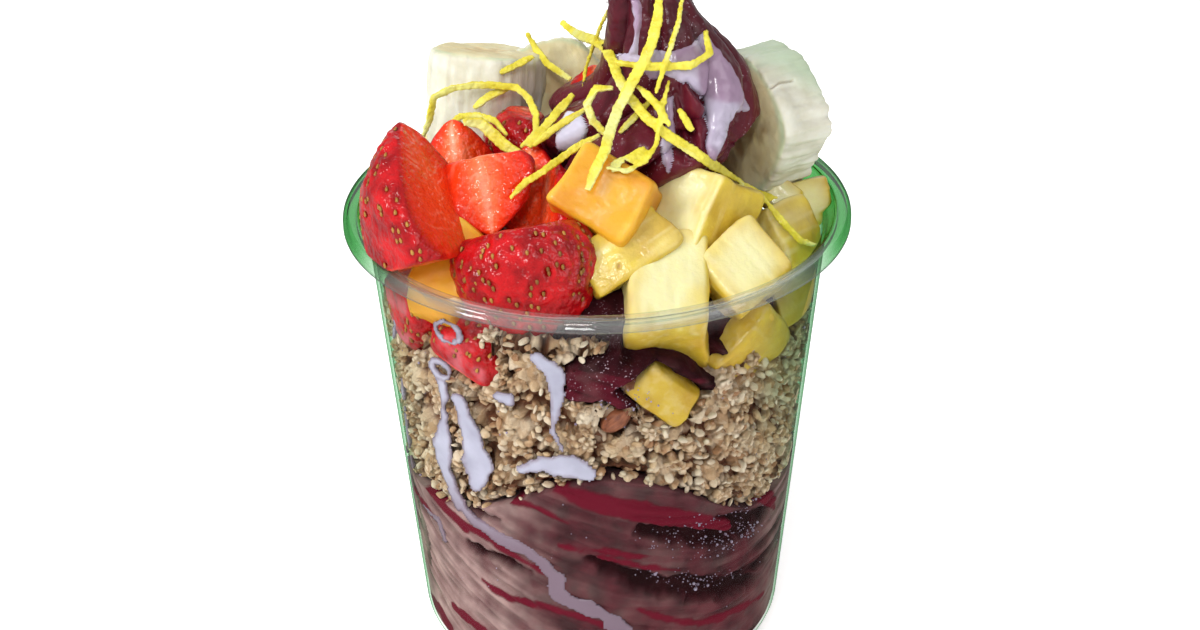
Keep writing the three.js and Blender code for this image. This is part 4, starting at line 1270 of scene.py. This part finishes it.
def make_peak(material, milk):
    """The upper puree's ridged peak, with its raised folds, its torn patch and its milk."""
    points, faces = capped(peak_rings(*(((400, 236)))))
    normals = normals_of(points, faces)
    spots = pixels_of(points)
    facing = smooth(0.0, 0.3, normals @ BACK)
    lens = facing * smooth(-0.4, 1.4, lens_depth(spots))
    round_lens = facing * smooth(-1.6, -0.5, lens_depth(spots)) * (1 - lens)
    lift = 0.35 * rough(points, 4.0, 3, 3)
    lift = lift + 1.3 * spot_mark(spots, *TORN) * rough(points, 2.6, 3, 6)
    lift = lift - HOLLOW_DEPTH * spot_mark(spots, *HOLLOW) + 1.8 * lens - 0.8 * round_lens
    points = points + normals * lift[:, None]
    normals = normals_of(points, faces)
    frost = smooth(-0.2, 0.7, rough(points, 6.0, 2, 8)) * 0.9
    maroon = np.clip(0.35 + 0.45 * smooth(150, 136, points[:, 2]) + 0.4 * lens, 0, 1)
    marks = {"maroon": maroon, "frost": frost}
    add_piece("acai_peak", points, faces, marks, material, ["acai_swirl"])
    pool = inside_outline(spots, MILK_POOL) / PIXELS_PER_MM
    make_peak_milk(points, faces, normals, pool, milk)


BUBBLE_TRIES = 13000
BUBBLE_HEIGHTS = (10, 92)
STRAY_BUBBLES = 0.004


def make_bubbles():
    """Small bubbles of air between the puree and the wall, thick in a few bands."""
    draw = np.random.default_rng(5)
    low, high = BUBBLE_HEIGHTS
    spots = draw.uniform([-BAND_FRONT, low], [BAND_FRONT, high], (BUBBLE_TRIES, 2))
    band = band_mark(spots, BUBBLE_BANDS, 1.5 * rough(laid_flat(spots), 4.0, 2, 3), 1.5)
    spots = spots[draw.random(len(spots)) < 0.6 * band + STRAY_BUBBLES]
    sizes = draw.uniform(0.07, 0.17, len(spots)) + 0.3 * draw.random(len(spots)) ** 8
    wall = inner_wall(spots[:, 1])
    middles = round_points(spots[:, 0] / wall - math.pi / 2, wall - 0.3 * sizes, spots[:, 1])
    template, faces = ball(2)
    points = (template[None] * sizes[:, None, None] + middles[:, None]).reshape(-1, 3)
    faces = faces_of_copies(faces, len(spots))
    look = Look("bubbles", Roughness=0.15, Specular_IOR_Level=0.6)
    look.colour(look.mottled(2.0, (112, 92, 110), (176, 164, 186)))
    add_piece("puree_bubbles", points, [faces], {}, look.material)


# Where the bed presses on the wall and shows dark, as an outline in the photograph's pixels.
WINDOW = (
    (564, 398), (566, 378), (580, 364), (600, 360), (618, 350), (640, 348), (662, 350), (690, 364),
    (722, 350), (740, 354), (737, 372), (718, 384), (706, 398), (700, 410), (686, 396), (660, 400),
    (640, 408), (618, 410), (604, 400), (592, 404), (578, 402))
BED_SET_BACK = 6.0
BED_EDGE_Z = 82.0
FRUIT_REACH = 27.0


def window_mark(points):
    """1 where the dark bed shows through the wall, in front."""
    inside = inside_outline(pixels_of(points), WINDOW) / PIXELS_PER_MM
    inside = inside + 0.7 * rough(points, 3.5, 2, 3)
    return smooth(-0.8, 0.3, inside) * (points[:, 1] < 0)


def fruit_near(points, depths):
    """1 where fruit lies behind points of the wall, by so many millimetres."""
    closest = np.full(len(points), -FAR_OUTSIDE)
    for depth in depths:
        inner = drawn_in(points, 1 - depth / off_axis(points))
        for shape, at, facing in FRUIT.values():
            away = inner - at
            near = (away**2).sum(axis=1) < FRUIT_REACH**2
            if near.any():
                sides = shape["sides"](away[near] @ turned(*facing))
                closest[near] = np.minimum(closest[near], softest(sides, shape["soft"]))
    return smooth(1.0, -0.3, closest)


def make_bed(material):
    """The upper puree's bed, which shows between the fruit and through the wall."""
    columns, rows = ((520, 56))
    angles, degrees = round_angles(columns)

    def under(radius):
        return np.minimum(granola_top(degrees, radius) + 0.4, BED_EDGE_Z)

    rings = [round_points(angles, radius, under(radius)) for radius in (6, 20, 33, 42)]
    for share in np.linspace(0, 1, rows):
        height = mix(under(46), bed_top(degrees, 46), share)
        wall = round_points(angles, inner_wall(height), height)
        pressed = window_mark(wall) * (1 - fruit_near(wall, (1.2, 3.2, 5.0)))
        edge = inner_wall(height) - BED_SET_BACK * (1 - pressed) + INTO_WALL
        rings.append(round_points(angles, edge, height))
    for radius in np.linspace(45.5, 4, 26):
        rings.append(round_points(angles, radius, bed_top(degrees, radius)))
    points, faces = capped(rings)
    normals = normals_of(points, faces)
    free = smooth(0.0, 2.0, inner_wall(points[:, 2]) - off_axis(points))
    points = points + normals * (0.8 * free * rough(points, 5.0, 3, 2))[:, None]
    groove = 0.8 * (1 - free) * smooth(-0.1, -0.7, streaks(points, 1.6, 2))
    points = points - normals * groove[:, None]
    maroon = (1 - free) * smooth(0.2, 0.5, streaks(points, 3.0, 1))
    marks = {
        "maroon": 0.3 * maroon,
        # Painted shade over the bed behind the fruit, except on its maroon streaks.
        "deep_shade": 0.55 * (1 - maroon),
        "haze": 0.12 * (1 - free) * smooth(0.1, 0.9, rough(points, 6.0, 3, 1)),
        "frost": smooth(0.0, 0.8, rough(points, 7.0, 2, 3)),
    }
    add_piece("acai_bed", points, faces, marks, material, ["acai_swirl"])


# The clusters that stand up in front of the bed: their middle, half width in degrees, and rise.
HIGH_CLUSTERS = (262, 26, 16)
GRANOLA_LIMIT = 102.0
CLEAR_DEPTH = 4.5


def granola_rise(degrees):
    middle, width, rise = HIGH_CLUSTERS
    height = granola_top(degrees, 46) + 1.5 + rise * bump(degrees, middle, width)
    return np.minimum(height, GRANOLA_LIMIT)


def crumbled(points):
    """Relief of clusters, of the bits in them, and of crumbs on those."""
    bent = points + 1.1 * np.stack([noise(points, 3.0, k) for k in (5, 6, 7)], axis=1)
    clump, next_clump, clump_tone = cells(bent, 10.0, 1)
    bit, next_bit, tone = cells(bent, 3.1, 2)
    crumb, next_crumb, _ = cells(bent, 1.25, 3)
    lift = 2.4 * smooth(0.0, 0.45, next_clump - clump) + 1.3 * smooth(0.0, 0.5, next_bit - bit)
    lift = lift + 0.45 * smooth(0.0, 0.5, next_crumb - crumb) - 0.5 * bit
    return lift - 3.9, 0.65 * tone + 0.35 * clump_tone


def make_granola_core(material):
    """The granola's core, crumbled all over, with painted shade in its deepest hollows."""
    columns, rows = ((760, 104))
    angles, degrees = round_angles(columns)

    def under(radius):
        return base_top(degrees, radius) + 0.3

    rise = granola_rise(degrees)
    rings = [round_points(angles, radius, under(radius)) for radius in (8, 22, 34, 41)]
    for share in np.linspace(0, 1, rows):
        height = mix(under(46), rise, share)
        wall = round_points(angles, inner_wall(height), height)
        kept_clear = np.maximum(window_mark(wall), fruit_near(wall, (1.0,)))
        edge = inner_wall(height) - 0.4 - CLEAR_DEPTH * kept_clear
        rings.append(round_points(angles, edge, height))
    for radius in (46.5, 45.5, 44, 42, 38, 32, 20, 8):
        top = mix(granola_top(degrees, radius) + 1.5, rise, smooth(44.5, 46.5, radius))
        rings.append(round_points(angles, radius, top))
    points, faces = capped(rings)
    lift, tone = crumbled(points)
    points = held_in(points + normals_of(points, faces) * lift[:, None])
    # Painted shade where the relief sinks deepest.
    marks = {"tone": tone, "gap": smooth(-2.0, -3.6, lift)}
    add_piece("granola_core", points, faces, marks, material, ["granola"])


CLUSTER_COUNT = 150
OAT_COUNT = 2000
FORMS = 89
ALMOND_ROOM = 7.5


def held_in(points):
    """Points drawn in to stay inside the cup's wall."""
    limit = inner_wall(points[:, 2]) + 0.1
    return drawn_in(points, np.minimum(1, limit / np.maximum(off_axis(points), 1)))


def scattered(seed, count, detail, sizes, flats, depths):
    """Lumps in the granola's relief by the wall, all round: points, faces and a tone. They are
    drawn from ranges of size, of flatness and of depth."""
    draw = np.random.default_rng(seed)
    template, template_faces = ball(detail)
    every, tones = [], []
    while len(every) < count * 1:
        degrees = draw.random() * 360
        low = float(base_top(np.array(degrees), 46))
        z = mix(low - 0.3, float(granola_rise(np.array(degrees))), draw.random())
        angle = math.radians(degrees)
        way = np.array([math.cos(angle), math.sin(angle), 0])
        spot = way * inner_wall(z) + [0, 0, z]
        size, flat, sunk = draw.uniform(*sizes), draw.uniform(*flats), draw.uniform(*depths)
        by_almond = np.linalg.norm(spot - FRUIT["almond"][1]) < ALMOND_ROOM
        if by_almond or max(window_mark(spot[None])[0], fruit_near(spot[None], (1.0,))[0]) > 0.3:
            continue
        form = len(every) % FORMS
        swell = 1 + 0.3 * noise(template, 0.8, form) + 0.18 * noise(template, 0.36, form + 1)
        shape = template * swell[:, None] * size * [1, draw.uniform(0.65, 1.0), flat]
        spin = Matrix.Rotation(draw.random() * TAU, 3, Vector(draw.normal(size=3)).normalized())
        every.append(shape @ np.array(spin).T + spot - way * (size * 0.55 + sunk))
        tones.append(np.full(len(template), draw.random()))
    faces = faces_of_copies(template_faces, len(every))
    return np.concatenate(every), faces, np.concatenate(tones)


def make_clusters(material):
    """Crumbly clusters, knobbed all over with bits that stick together, with painted light on the knobs
    and painted shade between them.
    """
    detail = 4
    points, faces, tone = scattered(31, CLUSTER_COUNT, detail, (1.9, 3.8), (0.6, 0.9), (0.0, 1.6))
    bit, next_bit, shade = cells(points, 1.7, 4)
    crumb, next_crumb, _ = cells(points, 0.8, 5)
    knob = smooth(0.0, 0.5, next_bit - bit)
    lift = 0.85 * knob + 0.25 * smooth(0.0, 0.5, next_crumb - crumb) - 0.7
    points = held_in(points + normals_of(points, [faces]) * lift[:, None])
    # Painted light: the tone is lighter on the raised knobs. Painted shade: the gap darkens between
    # them.
    marks = {"tone": np.clip(0.45 * tone + 0.3 * shade + 0.35 * knob, 0, 1), "gap": 0.4 * (1 - knob)}
    add_piece("granola_clusters", points, [faces], marks, material)


def make_oats(material):
    """Loose oats in the relief, some flat against the wall."""
    points, faces, tone = scattered(32, OAT_COUNT, 2, (0.6, 1.5), (0.25, 0.6), (-0.2, 1.8))
    marks = {"tone": np.clip(tone + 0.35 * noise(points, 1.2, 3), 0, 1)}
    add_piece("granola_oats", held_in(points), [faces], marks, material)


# ---------------------------------------------------------------- milk on the wall

# Runs of milk down the inside of the wall, by pixels along them, with the width in millimetres,
# and rings of it by their middle's pixel, their radius and their width in millimetres.
MILK_RUNS = (
    (((396, 322), (394, 338), (402, 373), (408, 433), (413, 465)), (1.2, 0.8, 0.7, 1.0, 1.4)),
    (((388, 335), (396, 350)), (0.6, 0.8)),
    (((443, 384), (445, 417), (442, 449), (446, 470), (460, 506)), (2.4, 2.2, 6.0, 4.0, 3.2)),
    (((460, 400), (470, 430), (478, 462), (476, 482)), (3.4, 5.6, 8.6, 4.6)),
    (((404, 440), (406, 470), (412, 500), (418, 530)), (1.0, 2.4, 2.2, 0.8)),
    (((387, 350), (390, 385), (398, 425)), (0.8, 1.8, 1.0)),
    (((537, 357), (555, 372), (557, 400), (553, 430), (562, 449)), (3.0, 4.2, 3.2, 2.0, 2.2)),
    (((496, 396), (508, 398)), (3.0, 3.4)),
    (((522, 470), (545, 463), (568, 466), (590, 474)), (2.4, 5.2, 6.6, 3.6)),
    (((452, 490), (470, 515), (505, 541), (526, 548), (542, 562), (556, 578), (556, 592), (575, 603),
      (600, 612), (622, 630)), (3.4, 3.4, 3.2, 3.4, 4.0, 4.4, 4.6, 4.2, 4.0, 4.2)),
    (((446, 540), (440, 520), (425, 505)), (1.8, 1.2, 0.6)),
)
MILK_RINGS = ((448, 332, 3.0, 1.2), (441, 369, 2.4, 1.1))

MILK_HEIGHTS = (4.0, 106.0)
MILK_INTO_WALL = 0.36


def milk_depth(grid):
    """How far inside the runs and rings of milk places on the wall lie, in millimetres."""
    depth = np.full(len(grid), NO_MILK)
    for pixels, widths in MILK_RUNS:
        depth = np.maximum(depth, stroke_depth(grid, on_wall(pixels), widths))
    for x, y, radius, width in MILK_RINGS:
        away = np.linalg.norm((grid - on_wall([(x, y)])[0]) * [0.85, 1.15], axis=1)
        depth = np.maximum(depth, width / 2 - np.abs(away - radius))
    return depth + 0.7 * rough(laid_flat(grid), 3.5, 4, 6)


def closed_film(quads, count):
    """Faces of a film: a front, a back of as many points, and a side round every border."""
    edges = np.concatenate([quads[:, [k, (k + 1) % 4]] for k in range(4)])
    keys = edges.min(1) * count + edges.max(1)
    _, first, uses = np.unique(keys, return_index=True, return_counts=True)
    start, end = edges[first[uses == 1]].T
    side = np.stack([end, start, start + count, end + count], axis=1)
    return [quads, (quads + count)[:, ::-1], side]


def make_wall_milk(material):
    """Milk between the food and the wall, thinning out at its edges."""
    step = 0.42
    across = np.arange(-BAND_FRONT - 4, BAND_FRONT + 4, step)
    heights = np.arange(*MILK_HEIGHTS, step)
    grid = np.stack(np.meshgrid(across, heights), axis=-1).reshape(-1, 2)
    depth = milk_depth(grid)
    quads = grid_faces(len(heights), len(across))
    quads = quads[(depth > -0.1)[quads].all(axis=1)]
    used, quads = np.unique(quads, return_inverse=True)
    quads = quads.reshape(-1, 4)
    across, height = grid[used].T
    depth = depth[used]
    wall = inner_wall(height)
    turn = across / wall - math.pi / 2
    front = round_points(turn, wall + MILK_INTO_WALL, height)
    back = round_points(turn, wall - 0.1 - 0.75 * smooth(-0.1, 1.0, depth), height)
    thin = np.clip(0.1 + 0.6 * smooth(1.1, 0.1, depth) + 0.9 * smooth(60, 42, height), 0, 1)
    points = np.concatenate([front, back])
    marks = {"lilac": np.concatenate([thin, thin])}
    add_piece("wall_milk", points, closed_film(quads, len(used)), marks, material)


# ---------------------------------------------------------------- zest and cup

ZEST_VOXEL = 0.3
ZEST_PASSES = 7


def rebuilt(mesh, voxel, passes):
    """Points and faces of a finely and evenly meshed copy, with its edges worn soft."""
    source = bpy.data.objects.new("rebuilding", mesh)
    bpy.context.scene.collection.objects.link(source)
    voxels = source.modifiers.new("voxels", "REMESH")
    voxels.mode = "VOXEL"
    voxels.voxel_size = voxel * MM
    worn = source.modifiers.new("worn", "SMOOTH")
    worn.factor = 0.5
    worn.iterations = passes
    ready = source.evaluated_get(bpy.context.evaluated_depsgraph_get())
    made = bpy.data.meshes.new_from_object(ready)
    bpy.data.objects.remove(source)
    faces = np.empty(len(made.loops), dtype=np.int32)
    made.loops.foreach_get("vertex_index", faces)
    return read_points(made), faces.reshape(-1, 4)


def make_zest():
    """All the strips of peel, pebbled outside and pale where they turn over."""
    names = sorted(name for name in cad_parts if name.startswith("lemon_zest"))
    voxel = ZEST_VOXEL * 1
    every, joined, count = [], [], 0
    for name in names:
        corners = node_corners(name).reshape(-1, 3)
        source = make_mesh("zest_source", corners, [np.arange(len(corners)).reshape(-1, 3)], {})
        points, faces = rebuilt(source, voxel, ZEST_PASSES)
        every.append(points)
        joined.append(faces + count)
        count += len(points)
    points, faces = np.concatenate(every), [np.concatenate(joined)]
    normals = normals_of(points, faces)
    pebbles, _, _ = cells(points, 0.9, 3)
    points = points + normals * (0.16 - 0.34 * pebbles + 0.1 * noise(points, 2.0, 4))[:, None]
    pith = 0.8 * smooth(0.1, 0.9, rough(points, 9.0, 2, 5) + 0.35 * (normals @ UP < 0))
    add_piece("lemon_zest_strips", points, faces, {"pith": pith}, zest_look(), names)


def arc(middle, radius, start, end, steps):
    """Points of an arc about a middle, in degrees."""
    turns = np.radians(np.linspace(start, end, steps))
    return [(middle[0] + radius * math.cos(t), middle[1] + radius * math.sin(t)) for t in turns]


RIM_DROP = 2.8
RIM_ROLL = 1.6
WALL_RINGS = (45, 60, 72, 84, 92, 97, 101, 104)


def cup_outside():
    """The outside of the cup's section, from the foot up, as radius and height."""
    corner = (WALL_FOOT_RADIUS - FOOT_CORNER, FOOT_CORNER)
    seat = outer_wall(LID_SEAT_Z)
    ledge = seat + LID_SEAT_STEP
    return [
        (0.5, FOOT_RECESS), (FOOT_RING_RADIUS - 1.4, FOOT_RECESS), (FOOT_RING_RADIUS, 0.02),
        *arc(corner, FOOT_CORNER, -90, -5, 9), *((outer_wall(z), z) for z in WALL_RINGS),
        (seat, LID_SEAT_Z - 0.4), *arc((seat + 0.9, LID_SEAT_Z + 0.1), 0.9, 200, 110, 4),
        *arc((seat + 1.6, LID_SEAT_Z + 1.9), 0.8, -70, 10, 4), (ledge, CUP_HEIGHT - 1.2),
        *arc((ledge + 0.7, CUP_HEIGHT - 1.5), 0.7, 180, 90, 4),
        (RIM_RADIUS - RIM_ROLL, CUP_HEIGHT - 0.8), (RIM_RADIUS - 0.9, CUP_HEIGHT - 1.4),
        (RIM_RADIUS - WALL, CUP_HEIGHT - RIM_DROP), (RIM_RADIUS, CUP_HEIGHT - RIM_DROP),
        (RIM_RADIUS, CUP_HEIGHT - RIM_ROLL),
    ]


def cup_inside():
    """The rest of the section: over the rolled rim and down the inside to the foot."""
    corner = (WALL_FOOT_RADIUS - FOOT_CORNER, FOOT_CORNER)
    seat = outer_wall(LID_SEAT_Z)
    ledge = seat + LID_SEAT_STEP
    return [
        *arc((RIM_RADIUS - RIM_ROLL, CUP_HEIGHT - RIM_ROLL), RIM_ROLL, 0, 90, 6),
        (ledge + 0.4, CUP_HEIGHT), *arc((ledge + 0.2, CUP_HEIGHT - 0.9), 0.9, 90, 180, 4),
        (ledge - WALL, LID_SEAT_Z + 2.4), (seat - WALL + 0.7, LID_SEAT_Z + 1.2),
        (seat - WALL, LID_SEAT_Z + 0.3),
        *((outer_wall(z) - WALL, z) for z in reversed(WALL_RINGS)),
        *arc(corner, FOOT_CORNER - WALL, -5, -90, 9),
        (FOOT_RING_RADIUS + 0.3, WALL), (FOOT_RING_RADIUS - 1.1, FOOT_RECESS + WALL),
        (0.5, FOOT_RECESS + WALL),
    ]


def make_cup():
    """The clear cup: one smooth turned shell with a rolled rim and a seat for a lid. Marks say
    where it is green, which paints reflection of green surroundings on the rim and green shade on
    the right of the wall, where it is glossy at its lip, and where it is a little cloudy."""
    columns = 240
    angles, _ = round_angles(columns)
    section = cup_outside() + cup_inside()
    points, faces = capped([round_points(angles, r, np.full(columns, z)) for r, z in section])
    turn = np.degrees(from_front(points))
    height = points[:, 2]
    # Painted reflection: green on the rim, strongest at the sides and back, from green surroundings.
    green = smooth(97, 107, height) * mix(0.03, 1.0, smooth(42, 72, np.abs(turn)))
    # Painted shade: an olive green patch on the right of the wall.
    right_side_green_shade = 0.24 * smooth(34, 62, turn) * smooth(150, 110, turn) * smooth(56, 84, height)
    green = np.maximum(green, right_side_green_shade)
    lip = smooth(103, 106, height)
    marks = {"rim": green, "lip": lip * (1 - 0.6 * green), "cloudy": lip * (1 - green)}
    add_piece("cup_shell", points, faces, marks, cup_look(), ["cup"])


# ---------------------------------------------------------------- studio

FLOOR_HALF = 2600.0
FLOOR_STEPS = 24
FLOOR_Z = -0.05

# The soft lamps: place in metres, width in metres, watts, and whether they show in gloss.
LAMPS = {
    "key": ((-0.7, -0.35, 0.85), 0.7, 7.6, False),
    "glint": ((-0.8, -0.45, 0.8), 0.22, 2.6, True),
    "fill": ((0.7, -0.7, 0.5), 0.7, 2.2, True),
    "spark": ((-0.15, -0.9, 0.9), 0.2, 3.4, True),
    "behind": ((0.1, 0.8, 0.7), 0.8, 2.0, True),
}
LAMP_AIM = (0, 0, 0.1)
WORLD_STRENGTH = 0.36


def make_floor():
    line = np.linspace(-FLOOR_HALF, FLOOR_HALF, FLOOR_STEPS)
    x, y = np.meshgrid(line, line)
    points = np.stack([x.ravel(), y.ravel(), np.full(x.size, FLOOR_Z)], axis=1)
    mesh = make_mesh("pale_floor", points, [grid_faces(FLOOR_STEPS, FLOOR_STEPS)], {})
    mesh.materials.append(floor_look())
    floor = bpy.data.objects.new("pale_floor", mesh)
    bpy.context.scene.collection.objects.link(floor)
    floor.visible_glossy = False


def add_lamp(name, spot, size, power, mirrored):
    data = bpy.data.lights.new(name, "AREA")
    data.size = size
    data.energy = power
    lamp = bpy.data.objects.new(name, data)
    bpy.context.scene.collection.objects.link(lamp)
    lamp.location = spot
    lamp.rotation_euler = (Vector(LAMP_AIM) - Vector(spot)).to_track_quat("-Z", "Y").to_euler()
    lamp.visible_glossy = mirrored


def make_studio():
    world = bpy.data.worlds.new("studio")
    bpy.context.scene.world = world
    world.use_nodes = True
    background = world.node_tree.nodes["Background"]
    background.inputs["Color"].default_value = (1, 1, 1, 1)
    background.inputs["Strength"].default_value = WORLD_STRENGTH
    for name, lamp in LAMPS.items():
        add_lamp(name, *lamp)
    bpy.context.scene.view_settings.view_transform = "Standard"
    bpy.context.scene.view_settings.look = "None"


def make_camera():
    data = bpy.data.cameras.new("photo_view")
    data.sensor_width = 36.0
    data.lens = data.sensor_width * FOCAL_PIXELS / IMAGE_SIZE[0]
    data.clip_start = 0.01
    camera = bpy.data.objects.new("photo_view", data)
    bpy.context.scene.collection.objects.link(camera)
    axes = np.stack([RIGHT, UP, BACK, CAMERA_SPOT * MM], axis=1)
    camera.matrix_world = Matrix([[*row] for row in axes] + [[0, 0, 0, 1]])
    bpy.context.scene.camera = camera


def main():
    puree = puree_look("acai_behind_wall", 0.02, 0.5)
    granola = granola_look()
    make_fruit()
    make_base(puree)
    make_bubbles()
    make_bed(puree)
    make_peak(
        puree_look("acai_peak_wet", 0.4, 0.28),
        milk_look("milk_on_peak", (190, 188, 206), (158, 132, 156)))
    make_granola_core(granola)
    make_clusters(granola)
    make_oats(granola)
    make_wall_milk(milk_look("milk_on_wall", (164, 164, 182), (124, 104, 118)))
    make_zest()
    make_cup()
    make_floor()
    make_studio()
    make_camera()


main()
